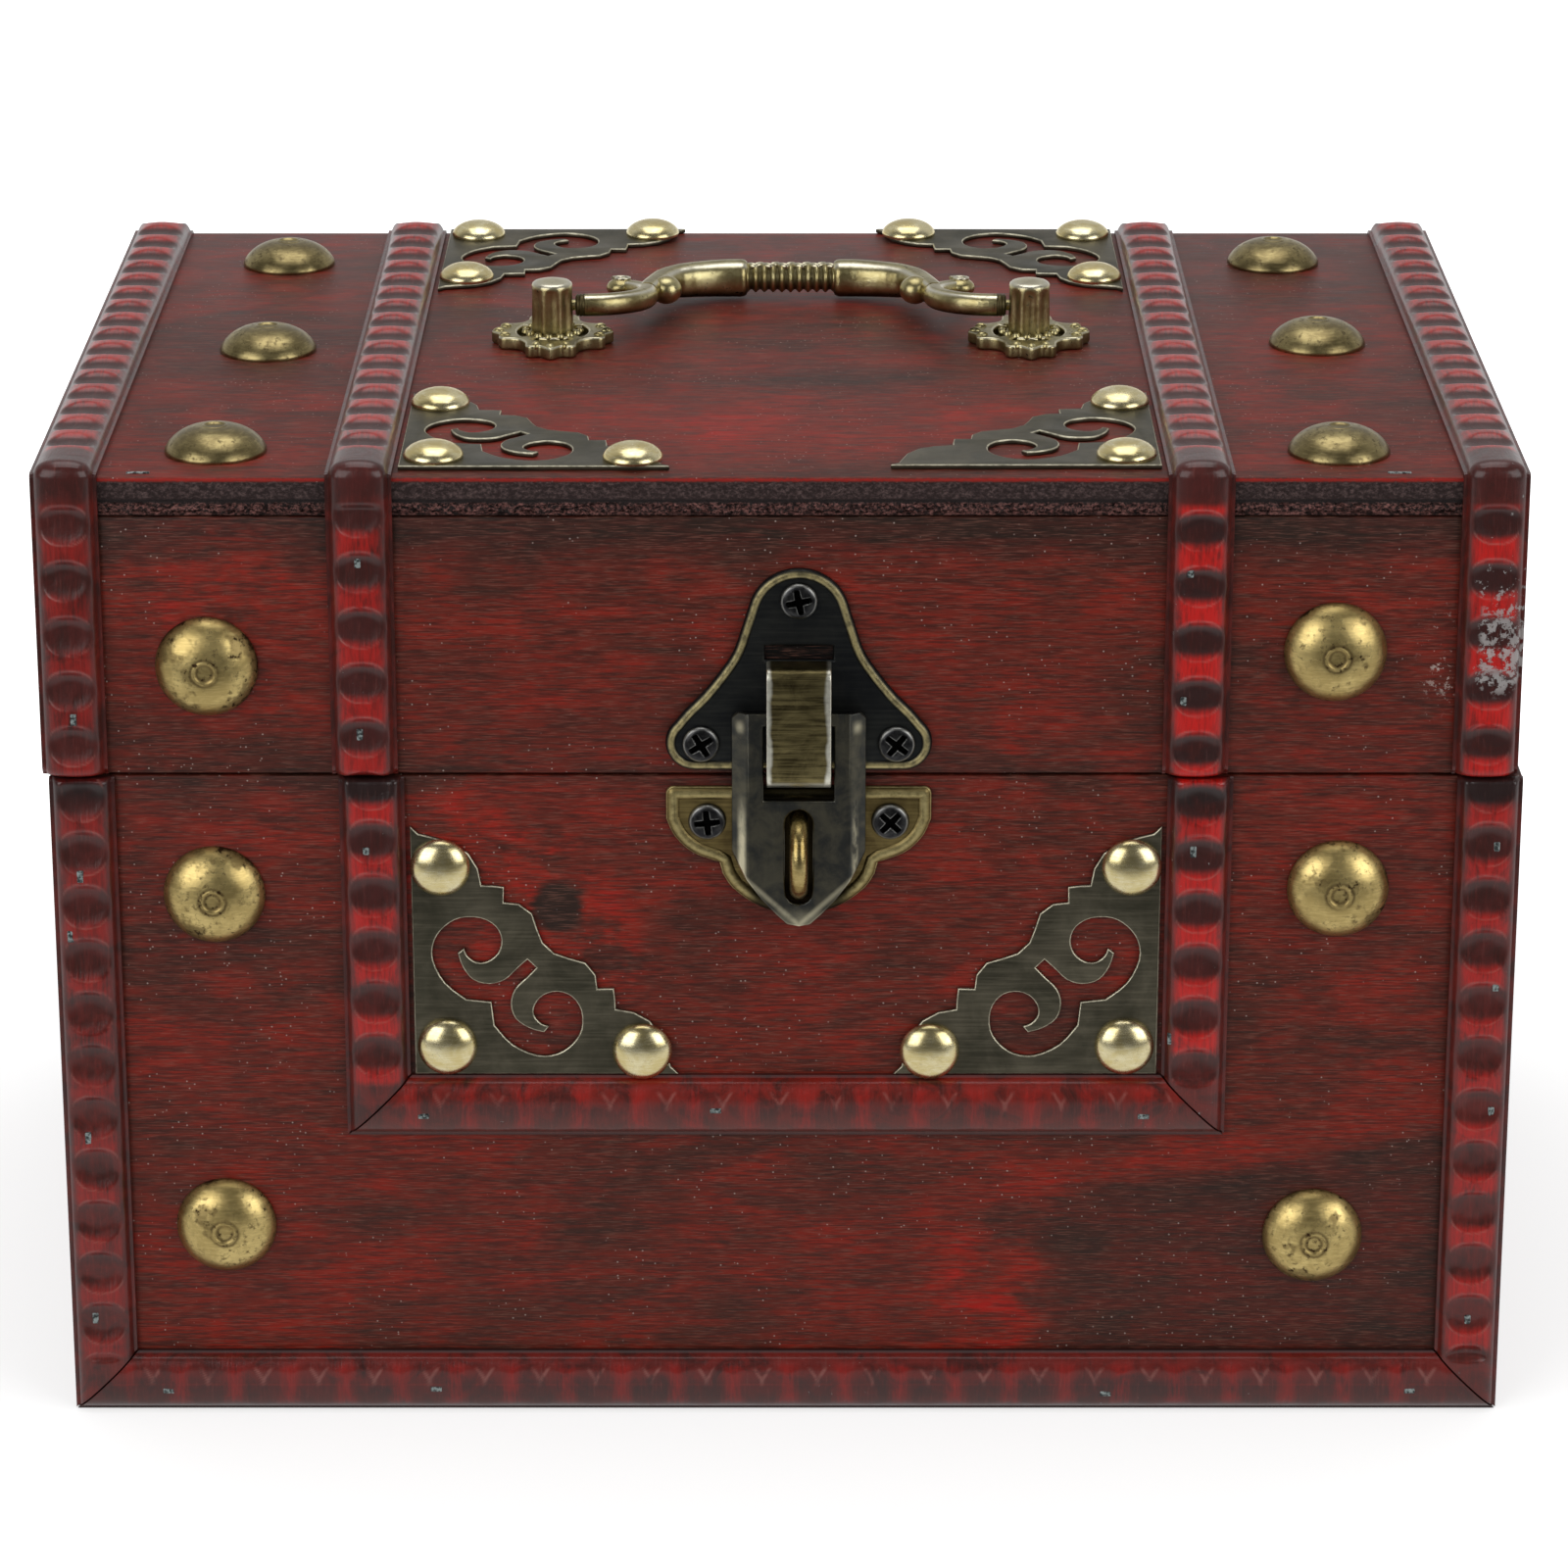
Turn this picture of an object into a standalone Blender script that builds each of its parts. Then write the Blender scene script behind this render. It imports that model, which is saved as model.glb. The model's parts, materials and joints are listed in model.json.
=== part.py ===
"""Wooden storage box with a hinged lid, pressed mouldings, corner plates, a hasp latch and a bail handle.

Metres, +Z up. The box stands on z = 0, its front faces -Y, and its outer box is centred in X and Y.
"""

import math

import bmesh
import bpy
from mathutils import Matrix, Vector

# Boards of the case and the lid
BOX_WIDTH = 0.2250
BOX_DEPTH = 0.1515
CASE_HEIGHT = 0.1060
LID_HEIGHT = 0.0470
SEAM_GAP = 0.0004
WALL = 0.0060
TOP_BOARD = 0.0060
BOTTOM_BOARD = 0.0040
FIT = 0.0002
LID_SHIFT = 0.0009

# Pressed mouldings
MOULDING_WIDTH = 0.0100
MOULDING_RISE = 0.0030
MOULDING_LIP_WIDTH = 0.0012
MOULDING_LIP_RISE = 0.0011
INNER_MOULDING_SHARE = 0.249
FRAME_BASE_Z = 0.0520

# Domed studs
STUD_RADIUS = 0.0078
STUD_RISE = 0.0040
STUD_RIM = 0.0005
STUD_SHANK_RADIUS = 0.0009
STUD_SHANK_LENGTH = 0.0034
SHANK_CLEARANCE = 0.0003

# Pierced corner plates and their round-headed nails
PLATE_LEG = 0.0412
PLATE_THICKNESS = 0.0008
PLATE_SIDE_INSET = 0.0008
PLATE_FRONT_INSET = 0.0042
PLATE_REAR_INSET = 0.0010
PLATE_SILL_INSET = 0.0008
PLATE_NAIL_HOLE_RADIUS = 0.0009
NAIL_RADIUS = 0.0046
NAIL_RISE = 0.0026

# Hasp latch
LATCH_X = 0.0024
LATCH_WIDTH = 0.0406
LATCH_HEIGHT = 0.0321
LATCH_SHEET = 0.0012
LATCH_CROWN_RADIUS = 0.0078
LATCH_LOBE_RADIUS = 0.0044
LATCH_ABOVE_SEAM = 0.0011
LATCH_SCREW_X = 0.0149
LATCH_SCREW_Z = 0.0043
LATCH_TOP_SCREW_Z = 0.0271
SCREW_RADIUS = 0.0029
SCREW_RISE = 0.0011
TONGUE_WIDTH = 0.0098
TONGUE_SHEET = 0.0009
TONGUE_REACH = 0.0057
TONGUE_BELOW_PLATE = 0.0019
TONGUE_HEIGHT = 0.0194
TONGUE_FOLD_RADIUS = 0.0013
TONGUE_SLOT_HEIGHT = 0.0022
HASP_WIDTH = 0.0207
HASP_FACE_WIDTH = 0.0158
HASP_SHEET = 0.0010
HASP_FRONT = 0.0042
HASP_SIDE_DEPTH = 0.0018
HASP_LENGTH = 0.0344
HASP_BAR = 0.0020
HASP_BAR_ABOVE_PLATE_FOOT = 0.0090
HASP_WINDOW_HEIGHT = 0.0120
HASP_WEB = 0.0014
HASP_SLOT_WIDTH = 0.0042
HASP_SLOT_ABOVE_TIP = 0.0036
HASP_SHOULDER_ABOVE_TIP = 0.0118
CATCH_BELOW_SEAM = 0.0016
CATCH_FOOT_ABOVE_HASP_TIP = 0.0007
CATCH_CORNER_RADIUS = 0.0012
CATCH_SCREW_X = 0.0140
CATCH_SCREW_Z = 0.0056
STAPLE_WIRE_RADIUS = 0.0014
STAPLE_SLOT_CLEARANCE = 0.0008
STAPLE_REACH = 0.0095
STAPLE_LEG_IN_WOOD = 0.0045

# Bail handle
HANDLE_SHIFT = 0.0017
POST_SPREAD = 0.0774
POST_FOOT_RADIUS = 0.0037
POST_TOP_RADIUS = 0.0034
POST_HEIGHT = 0.0105
POST_FLUTE_DEPTH = 0.0003
POST_FLUTES = 8
POST_REAR_SHIFT = 0.0020
ROSETTE_RADIUS = 0.0099
ROSETTE_DEPTH_SHARE = 1.15
ROSETTE_HEIGHT = 0.0021
ROSETTE_HUB_RADIUS = 0.0044
ROSETTE_RIM_INNER_RADIUS = 0.0058
ROSETTE_SPOKE_WIDTH = 0.0016
BAIL_PIVOT_HEIGHT = 0.0063
BAIL_REACH = 0.0286
BAIL_REST_GAP = 0.0004
BAIL_ROD_RADIUS = 0.0018
BAIL_PIN_RADIUS = 0.0009
BAIL_PIN_LENGTH = 0.0026
BAIL_PIN_CLEARANCE = 0.0004
BAIL_SIDE_GAP = 0.0005
SCROLL_RADIUS = 0.0099
SCROLL_BALL_RADIUS = 0.0025
BEAD_RADIUS = 0.0026
ARM_RADIUS = 0.0031
ARM_FOOT_RADIUS = 0.0017
GRIP_LENGTH = 0.0160
GRIP_RADIUS = 0.0024
GRIP_RIB_DEPTH = 0.0004
GRIP_RIBS = 9
HANDLE_SCREW_RADIUS = 0.0016
HANDLE_SCREW_HEAD_RADIUS = 0.0033
HANDLE_SCREW_HEAD_RISE = 0.0018
HANDLE_SCREW_IN_POST = 0.0024

# Butt hinges on the back
HINGE_X = 0.0620
HINGE_WIDTH = 0.0220
HINGE_LEAF_HEIGHT = 0.0130
HINGE_LEAF = 0.0008
KNUCKLE_RADIUS = 0.0022
KNUCKLE_GAP = 0.0003
HINGE_PIN_RADIUS = 0.0010
HINGE_PIN_CLEARANCE = 0.0002
HINGE_PIN_HEAD_RADIUS = 0.0016
HINGE_PIN_HEAD = 0.0006

# Facets
ROUND_STEPS = 16
SMALL_STEPS = 12
CUT_OVERRUN = 0.0010
WELD = 0.000001

# Places worked out from the sizes
LID_FOOT_Z = CASE_HEIGHT + SEAM_GAP
LID_TOP_Z = LID_FOOT_Z + LID_HEIGHT
FRONT_REACH = STAPLE_REACH
REAR_REACH = FIT + 2 * KNUCKLE_RADIUS
FRONT_Y = (FRONT_REACH - REAR_REACH - BOX_DEPTH) / 2
BACK_Y = FRONT_Y + BOX_DEPTH
MIDDLE_Y = (FRONT_Y + BACK_Y) / 2
CASE_X = LID_SHIFT / 2
LID_X = -LID_SHIFT / 2
HALF_WIDTH = BOX_WIDTH / 2
HANDLE_EDGE_X = POST_SPREAD / 2 + HANDLE_SHIFT + ROSETTE_RADIUS
OUTER_MOULDING_EDGE_X = HALF_WIDTH - MOULDING_WIDTH
INNER_MOULDING_X = HANDLE_EDGE_X + (OUTER_MOULDING_EDGE_X - HANDLE_EDGE_X) * INNER_MOULDING_SHARE
SEAM_Z = CASE_HEIGHT + SEAM_GAP / 2
HINGE_AXIS = Vector((0, BACK_Y + FIT + KNUCKLE_RADIUS, SEAM_Z))
LATCH_FOOT_Z = SEAM_Z + LATCH_ABOVE_SEAM
HASP_AXIS = Vector(
    (LATCH_X, FRONT_Y - HASP_FRONT + HASP_SHEET / 2, LATCH_FOOT_Z + HASP_BAR_ABOVE_PLATE_FOOT)
)
HASP_TIP_Z = HASP_AXIS.z + HASP_BAR / 2 - HASP_LENGTH
HASP_SLOT_HEIGHT = HASP_LENGTH - HASP_BAR - HASP_WINDOW_HEIGHT - HASP_WEB - HASP_SLOT_ABOVE_TIP
STAPLE_BEND_RADIUS = HASP_SLOT_HEIGHT / 2 - STAPLE_WIRE_RADIUS - STAPLE_SLOT_CLEARANCE
STAPLE_CENTRE_Z = HASP_TIP_Z + HASP_SLOT_ABOVE_TIP + HASP_SLOT_HEIGHT / 2
CATCH_TOP_Z = SEAM_Z - CATCH_BELOW_SEAM
CATCH_HEIGHT = CATCH_TOP_Z - HASP_TIP_Z - CATCH_FOOT_ABOVE_HASP_TIP
HANDLE_X = LID_X + HANDLE_SHIFT
HANDLE_Y = MIDDLE_Y + POST_REAR_SHIFT
BAIL_AXIS = Vector((HANDLE_X, HANDLE_Y, LID_TOP_Z + BAIL_PIVOT_HEIGHT))
BAIL_DROOP = math.asin((BAIL_PIVOT_HEIGHT - ARM_RADIUS - BAIL_REST_GAP) / BAIL_REACH)

LEFT = -1
RIGHT = 1
SIDE_NAMES = {LEFT: "left", RIGHT: "right"}

# Colours of the materials, as linear values
STAINED_WOOD = ("stained_wood", (0.115, 0.018, 0.014, 1), 0.45, 0.0)
MOULDING_WOOD = ("moulding_wood", (0.100, 0.012, 0.010, 1), 0.35, 0.0)
STUD_BRASS = ("stud_brass", (0.32, 0.24, 0.10, 1), 0.35, 1.0)
DARK_BRONZE = ("dark_bronze", (0.075, 0.070, 0.052, 1), 0.45, 1.0)
LATCH_BRONZE = ("latch_bronze", (0.060, 0.058, 0.045, 1), 0.35, 1.0)
CATCH_BRASS = ("catch_brass", (0.25, 0.19, 0.08, 1), 0.35, 1.0)
HANDLE_BRASS = ("handle_brass", (0.20, 0.155, 0.07, 1), 0.30, 1.0)


def clear_scene():
    """Removes the objects that Blender starts with."""
    for old in list(bpy.data.objects):
        bpy.data.objects.remove(old, do_unlink=True)


clear_scene()
box_parts = bpy.data.collections.new("wooden_storage_box")
box_cutters = bpy.data.collections.new("cutters")
bpy.context.scene.collection.children.link(box_parts)
bpy.context.scene.collection.children.link(box_cutters)


def finish_material(finish):
    """One Principled material for each finish, made when it is first asked for."""
    name, colour, roughness, metallic = finish
    material = bpy.data.materials.get(name)
    if material is None:
        material = bpy.data.materials.new(name)
        material.use_nodes = True
        shader = material.node_tree.nodes["Principled BSDF"]
        shader.inputs["Base Color"].default_value = colour
        shader.inputs["Roughness"].default_value = roughness
        shader.inputs["Metallic"].default_value = metallic
        material.diffuse_color = colour
    return material


def add_piece(name, mesh, finish, collection=box_parts):
    """Puts a mesh in the scene under a name, with its finish."""
    piece = bpy.data.objects.new(name, mesh)
    collection.objects.link(piece)
    mesh.materials.clear()
    mesh.materials.append(finish_material(finish))
    return piece


def add_cutter(name, mesh):
    """A helper shape that a Boolean reads and no render shows."""
    cutter = bpy.data.objects.new(name, mesh)
    box_cutters.objects.link(cutter)
    cutter.hide_render = True
    cutter.display_type = "WIRE"
    return cutter


def combine(piece, other, operation):
    """A Boolean modifier on the piece; the other shape moves to the cutters."""
    change = piece.modifiers.new(operation.lower() + "_" + other.name, "BOOLEAN")
    change.operation = operation
    change.object = other
    change.solver = "EXACT"
    return change


def smooth_round(mesh, angle=math.radians(35)):
    mesh.shade_smooth()
    mesh.set_sharp_from_angle(angle=angle)
    return mesh


def mesh_of(bm, name):
    bmesh.ops.recalc_face_normals(bm, faces=bm.faces[:])
    mesh = bpy.data.meshes.new(name)
    bm.to_mesh(mesh)
    bm.free()
    return mesh


def block_mesh(name, low, high):
    """A rectangular block between two corners."""
    low = Vector(low)
    high = Vector(high)
    bm = bmesh.new()
    bmesh.ops.create_cube(bm, size=1)
    centre = Matrix.Translation((low + high) / 2)
    bmesh.ops.transform(bm, matrix=centre @ Matrix.Diagonal((*(high - low), 1)), verts=bm.verts[:])
    return mesh_of(bm, name)


def turned_mesh(name, profile, steps, out=Vector((0, 0, 1)), centre=Vector()):
    """A profile of (radius, height) pairs, from the crown down, turned about the direction out."""
    guide = bpy.data.meshes.new(name + "_profile")
    points = [(radius, 0, height) for radius, height in profile]
    edges = [(index, index + 1) for index in range(len(points) - 1)]
    guide.from_pydata(points, edges, [])
    guide_object = bpy.data.objects.new(name + "_profile", guide)
    box_cutters.objects.link(guide_object)
    screw = guide_object.modifiers.new("turn", "SCREW")
    screw.steps = steps
    screw.render_steps = steps
    screw.use_merge_vertices = True
    screw.merge_threshold = 0.00001
    mesh = evaluated_mesh(guide_object, name)
    bpy.data.objects.remove(guide_object, do_unlink=True)
    turn = Vector((0, 0, 1)).rotation_difference(Vector(out)).to_matrix().to_4x4()
    mesh.transform(Matrix.Translation(centre) @ turn)
    return mesh


def evaluated_mesh(piece, name):
    """The mesh of an object as its modifiers leave it, with doubled points merged."""
    bpy.context.view_layer.update()
    graph = bpy.context.evaluated_depsgraph_get()
    mesh = bpy.data.meshes.new_from_object(piece.evaluated_get(graph))
    mesh.name = name
    bm = bmesh.new()
    bm.from_mesh(mesh)
    bmesh.ops.remove_doubles(bm, verts=bm.verts[:], dist=WELD)
    bmesh.ops.recalc_face_normals(bm, faces=bm.faces[:])
    bm.to_mesh(mesh)
    bm.free()
    return mesh


def outline_mesh(name, outlines, thickness):
    """Flat outlines, the first the edge and the rest holes, filled and given a thickness about z = 0."""
    curve = bpy.data.curves.new(name, "CURVE")
    curve.dimensions = "2D"
    curve.fill_mode = "BOTH"
    curve.extrude = thickness / 2
    for outline in outlines:
        spline = curve.splines.new("POLY")
        spline.points.add(len(outline) - 1)
        for point, (across, along) in zip(spline.points, outline):
            point.co = (across, along, 0, 1)
        spline.use_cyclic_u = True
    flat = bpy.data.objects.new(name, curve)
    box_cutters.objects.link(flat)
    mesh = evaluated_mesh(flat, name)
    bpy.data.objects.remove(flat, do_unlink=True)
    return mesh


def tube_mesh(name, points, radii, resolution=2):
    """A round bar along the points, whose thickness follows the radii."""
    curve = bpy.data.curves.new(name, "CURVE")
    curve.dimensions = "3D"
    curve.bevel_depth = 1
    curve.bevel_resolution = resolution
    curve.use_fill_caps = True
    spline = curve.splines.new("POLY")
    spline.points.add(len(points) - 1)
    for node, place, radius in zip(spline.points, points, radii):
        node.co = (*place, 1)
        node.radius = radius
    bar = bpy.data.objects.new(name, curve)
    box_cutters.objects.link(bar)
    mesh = evaluated_mesh(bar, name)
    bpy.data.objects.remove(bar, do_unlink=True)
    return mesh


def fused_mesh(name, meshes):
    """One closed body from several meshes that reach into each other."""
    base = bpy.data.objects.new(name, meshes[0])
    box_cutters.objects.link(base)
    added = [add_cutter(f"{name}_part_{index}", mesh) for index, mesh in enumerate(meshes[1:])]
    for other in added:
        combine(base, other, "UNION")
    mesh = evaluated_mesh(base, name)
    for helper in [base, *added]:
        bpy.data.objects.remove(helper, do_unlink=True)
    return mesh


def cut_mesh(name, mesh, cutters):
    """The mesh less each of the cutter meshes."""
    base = bpy.data.objects.new(name, mesh)
    box_cutters.objects.link(base)
    added = [add_cutter(f"{name}_cut_{index}", cutter) for index, cutter in enumerate(cutters)]
    for other in added:
        combine(base, other, "DIFFERENCE")
    result = evaluated_mesh(base, name)
    for helper in [base, *added]:
        bpy.data.objects.remove(helper, do_unlink=True)
    return result


def arc(centre, radius, start, end, steps):
    """Points along an arc, angles in degrees."""
    angles = [math.radians(start + (end - start) * step / steps) for step in range(steps + 1)]
    return [(centre[0] + radius * math.cos(a), centre[1] + radius * math.sin(a)) for a in angles]


def smoothed(points, cuts=2, closed=False):
    """A curve through the points: each span of it is a Catmull-Rom cubic cut into equal steps."""
    count = len(points)
    spans = range(count if closed else count - 1)
    result = []
    for index in spans:
        if closed:
            around = [points[(index + step) % count] for step in (-1, 0, 1, 2)]
        else:
            around = [points[min(max(index + step, 0), count - 1)] for step in (-1, 0, 1, 2)]
        before, first, second, after = (Vector(point) for point in around)
        for cut in range(cuts):
            t = cut / cuts
            bend = 2 * first + (second - before) * t
            bend += (2 * before - 5 * first + 4 * second - after) * t * t
            bend += (3 * first - before - 3 * second + after) * t * t * t
            result.append(tuple(bend / 2))
    if not closed:
        result.append(tuple(points[-1]))
    return result


FACING_FRONT = Matrix.Rotation(math.radians(90), 4, "X")
FRONT = Vector((0, -1, 0))
UP = Vector((0, 0, 1))


def on_front(depth):
    """Places a flat outline, whose local Z is its thickness, at a distance out of the front face."""
    return Matrix.Translation((0, FRONT_Y - depth, 0)) @ FACING_FRONT


# Shanks go into holes that are cut in the boards
def shank_hole(name, place, out, radius, length):
    """A cutter for a fastener's hole, from just outside the board's face to the length given."""
    profile = [(0, CUT_OVERRUN), (radius, CUT_OVERRUN), (radius, -length), (0, -length)]
    return turned_mesh(name, profile, SMALL_STEPS, out, place)


def stud_mesh(name, place, out):
    """A domed stud with a small dished centre, a thin rim and a shank."""
    crown = STUD_RISE + FIT
    dish_share = 0.20
    dish_depth_share = 0.05
    profile = [(0, crown - STUD_RISE * dish_depth_share), (STUD_RADIUS * dish_share, crown)]
    swell_shares = ((0.50, 0.88), (0.76, 0.62), (0.93, 0.31))
    profile += [(STUD_RADIUS * across, FIT + STUD_RISE * up) for across, up in swell_shares]
    profile += [(STUD_RADIUS, FIT + STUD_RIM), (STUD_RADIUS, FIT), (STUD_SHANK_RADIUS, FIT)]
    profile += [(STUD_SHANK_RADIUS, -STUD_SHANK_LENGTH), (0, -STUD_SHANK_LENGTH)]
    return smooth_round(turned_mesh(name, profile, ROUND_STEPS, out, place))


def add_studs(places, out):
    """Studs at the named places; returns the cutters for their holes."""
    depth = STUD_SHANK_LENGTH + SHANK_CLEARANCE
    holes = []
    for name, place in places.items():
        add_piece(name, stud_mesh(name, place, out), STUD_BRASS)
        radius = STUD_SHANK_RADIUS + SHANK_CLEARANCE
        holes.append(shank_hole(name + "_hole", place, out, radius, depth))
    return holes


# Studs are set by eye. The first share is how far from the middle of the field between the mouldings,
# outwards, as a share of the room there; the second is a share of the height, or of the half depth on top.
CASE_STUD_SHARES = {
    ("case_stud_upper", LEFT): (0.265, 0.819),
    ("case_stud_upper", RIGHT): (-0.064, 0.828),
    ("case_stud_lower", LEFT): (0.253, 0.297),
    ("case_stud_lower", RIGHT): (-0.300, 0.280),
}
LID_STUD_SHARES = {("lid_stud", LEFT): (0.168, 0.368), ("lid_stud", RIGHT): (-0.134, 0.417)}
TOP_STUD_SHARES = {
    ("top_stud_rear", LEFT): (-0.146, 0.707),
    ("top_stud_rear", RIGHT): (-0.123, 0.718),
    ("top_stud_middle", LEFT): (-0.269, -0.034),
    ("top_stud_middle", RIGHT): (0.194, 0.015),
    ("top_stud_front", LEFT): (0.059, -0.811),
    ("top_stud_front", RIGHT): (-0.038, -0.817),
}


def stud_x(side, share):
    """How far a stud stands from the middle of the box, in the field between two mouldings."""
    inner_edge = INNER_MOULDING_X + MOULDING_WIDTH / 2
    room = (OUTER_MOULDING_EDGE_X - inner_edge) / 2 - STUD_RADIUS
    return side * ((OUTER_MOULDING_EDGE_X + inner_edge) / 2 + room * share)


def case_stud_places():
    return {
        f"{row}_{SIDE_NAMES[side]}": Vector((CASE_X + stud_x(side, across), FRONT_Y, CASE_HEIGHT * up))
        for (row, side), (across, up) in CASE_STUD_SHARES.items()
    }


def lid_front_stud_places():
    return {
        f"{row}_{SIDE_NAMES[side]}": Vector(
            (LID_X + stud_x(side, across), FRONT_Y, LID_FOOT_Z + LID_HEIGHT * up)
        )
        for (row, side), (across, up) in LID_STUD_SHARES.items()
    }


def top_stud_places():
    half_depth = BOX_DEPTH / 2
    return {
        f"{row}_{SIDE_NAMES[side]}": Vector(
            (LID_X + stud_x(side, across), MIDDLE_Y + half_depth * back, LID_TOP_Z)
        )
        for (row, side), (across, back) in TOP_STUD_SHARES.items()
    }


# Case boards


def staple_feet():
    """Where the staple's two legs go into the case front."""
    return [
        Vector((LATCH_X, FRONT_Y, STAPLE_CENTRE_Z + side * STAPLE_BEND_RADIUS)) for side in (LEFT, RIGHT)
    ]


def add_case_boards(holes):
    left = CASE_X - HALF_WIDTH
    right = CASE_X + HALF_WIDTH
    front_board = block_mesh("case_front", (left, FRONT_Y, 0), (right, FRONT_Y + WALL, CASE_HEIGHT))
    add_piece("case_front", cut_mesh("case_front", front_board, holes), STAINED_WOOD)
    back_board = block_mesh("case_back", (left, BACK_Y - WALL, 0), (right, BACK_Y, CASE_HEIGHT))
    add_piece("case_back", back_board, STAINED_WOOD)
    near = FRONT_Y + WALL + FIT
    far = BACK_Y - WALL - FIT
    for name, low_x in (("case_left", left), ("case_right", right - WALL)):
        board = block_mesh(name, (low_x, near, 0), (low_x + WALL, far, CASE_HEIGHT))
        add_piece(name, board, STAINED_WOOD)
    inset = WALL + FIT
    bottom = block_mesh("case_bottom", (left + inset, near, 0), (right - inset, far, BOTTOM_BOARD))
    add_piece("case_bottom", bottom, STAINED_WOOD)


# Lid boards
def add_lid_boards(front_holes, top_holes):
    left = LID_X - HALF_WIDTH
    right = LID_X + HALF_WIDTH
    under = LID_TOP_Z - TOP_BOARD
    wall_top = under - FIT
    top = block_mesh("lid_top", (left, FRONT_Y, under), (right, BACK_Y, LID_TOP_Z))
    add_piece("lid_top", cut_mesh("lid_top", top, top_holes), STAINED_WOOD)
    front = block_mesh("lid_front", (left, FRONT_Y, LID_FOOT_Z), (right, FRONT_Y + WALL, wall_top))
    add_piece("lid_front", cut_mesh("lid_front", front, front_holes), STAINED_WOOD)
    back = block_mesh("lid_back", (left, BACK_Y - WALL, LID_FOOT_Z), (right, BACK_Y, wall_top))
    add_piece("lid_back", back, STAINED_WOOD)
    near = FRONT_Y + WALL + FIT
    far = BACK_Y - WALL - FIT
    for name, low_x in (("lid_left", left), ("lid_right", right - WALL)):
        board = block_mesh(name, (low_x, near, LID_FOOT_Z), (low_x + WALL, far, wall_top))
        add_piece(name, board, STAINED_WOOD)


# Mouldings: a half round between two thin lips, mitred where two lengths meet
def moulding_profile():
    """Outline of the section as (across, out), from one lip over the crown to the other."""
    half = MOULDING_WIDTH / 2
    inner = half - MOULDING_LIP_WIDTH
    points = [(-half, FIT), (-half, FIT + MOULDING_LIP_RISE)]
    steps = 6
    for step in range(steps + 1):
        angle = math.pi * (1 - step / steps)
        rise = MOULDING_LIP_RISE + (MOULDING_RISE - MOULDING_LIP_RISE) * math.sin(angle)
        points.append((inner * math.cos(angle), FIT + rise))
    return points + [(half, FIT + MOULDING_LIP_RISE), (half, FIT)]


def add_moulding(name, start, end, across, out, start_mitre=(0, 0), end_mitre=(0, 0)):
    """A length of moulding; a mitre gives how far its end shifts for each unit across and out."""
    mesh = outline_mesh(name, [moulding_profile()], 1)
    along = (Vector(end) - Vector(start)).normalized()
    length = (Vector(end) - Vector(start)).length
    across = Vector(across)
    out = Vector(out)
    for vertex in mesh.vertices:
        side, rise, at_end = vertex.co
        if at_end > 0:
            distance = length + side * end_mitre[0] + rise * end_mitre[1]
        else:
            distance = side * start_mitre[0] + rise * start_mitre[1]
        vertex.co = Vector(start) + along * distance + across * side + out * rise
    bm = bmesh.new()
    bm.from_mesh(mesh)
    bmesh.ops.recalc_face_normals(bm, faces=bm.faces[:])
    bm.to_mesh(mesh)
    bm.free()
    return add_piece(name, smooth_round(mesh), MOULDING_WOOD)


def add_case_mouldings():
    half = MOULDING_WIDTH / 2
    outer_x = OUTER_MOULDING_EDGE_X + half
    inward_x = Vector((1, 0, 0))
    for side in (LEFT, RIGHT):
        inward = -side * inward_x
        x = CASE_X + side * outer_x
        foot = Vector((x, FRONT_Y, half + FIT))
        head = Vector((x, FRONT_Y, CASE_HEIGHT))
        add_moulding(f"case_moulding_{SIDE_NAMES[side]}", foot, head, inward, FRONT, (1, 0))
        x = CASE_X + side * INNER_MOULDING_X
        foot = Vector((x, FRONT_Y, FRAME_BASE_Z + FIT))
        head = Vector((x, FRONT_Y, CASE_HEIGHT))
        add_moulding(f"case_frame_{SIDE_NAMES[side]}", foot, head, inward, FRONT, (1, 0))
    for name, reach, z in (
        ("case_moulding_base", outer_x, half),
        ("case_frame_base", INNER_MOULDING_X, FRAME_BASE_Z),
    ):
        start = Vector((CASE_X - reach + FIT, FRONT_Y, z))
        end = Vector((CASE_X + reach - FIT, FRONT_Y, z))
        add_moulding(name, start, end, UP, FRONT, (1, 0), (-1, 0))


def add_lid_mouldings():
    outer_x = OUTER_MOULDING_EDGE_X + MOULDING_WIDTH / 2
    sideways = Vector((1, 0, 0))
    for place, x in (("outer", outer_x), ("inner", INNER_MOULDING_X)):
        for side in (LEFT, RIGHT):
            at_x = LID_X + side * x
            foot = Vector((at_x, FRONT_Y, LID_FOOT_Z))
            head = Vector((at_x, FRONT_Y, LID_TOP_Z - FIT))
            name = f"lid_moulding_{place}_{SIDE_NAMES[side]}"
            add_moulding(name, foot, head, sideways, FRONT, (0, 0), (0, 1))
            near = Vector((at_x, FRONT_Y + FIT, LID_TOP_Z))
            far = Vector((at_x, BACK_Y, LID_TOP_Z))
            name = f"top_moulding_{place}_{SIDE_NAMES[side]}"
            add_moulding(name, near, far, sideways, UP, (0, -1), (0, 0))


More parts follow.
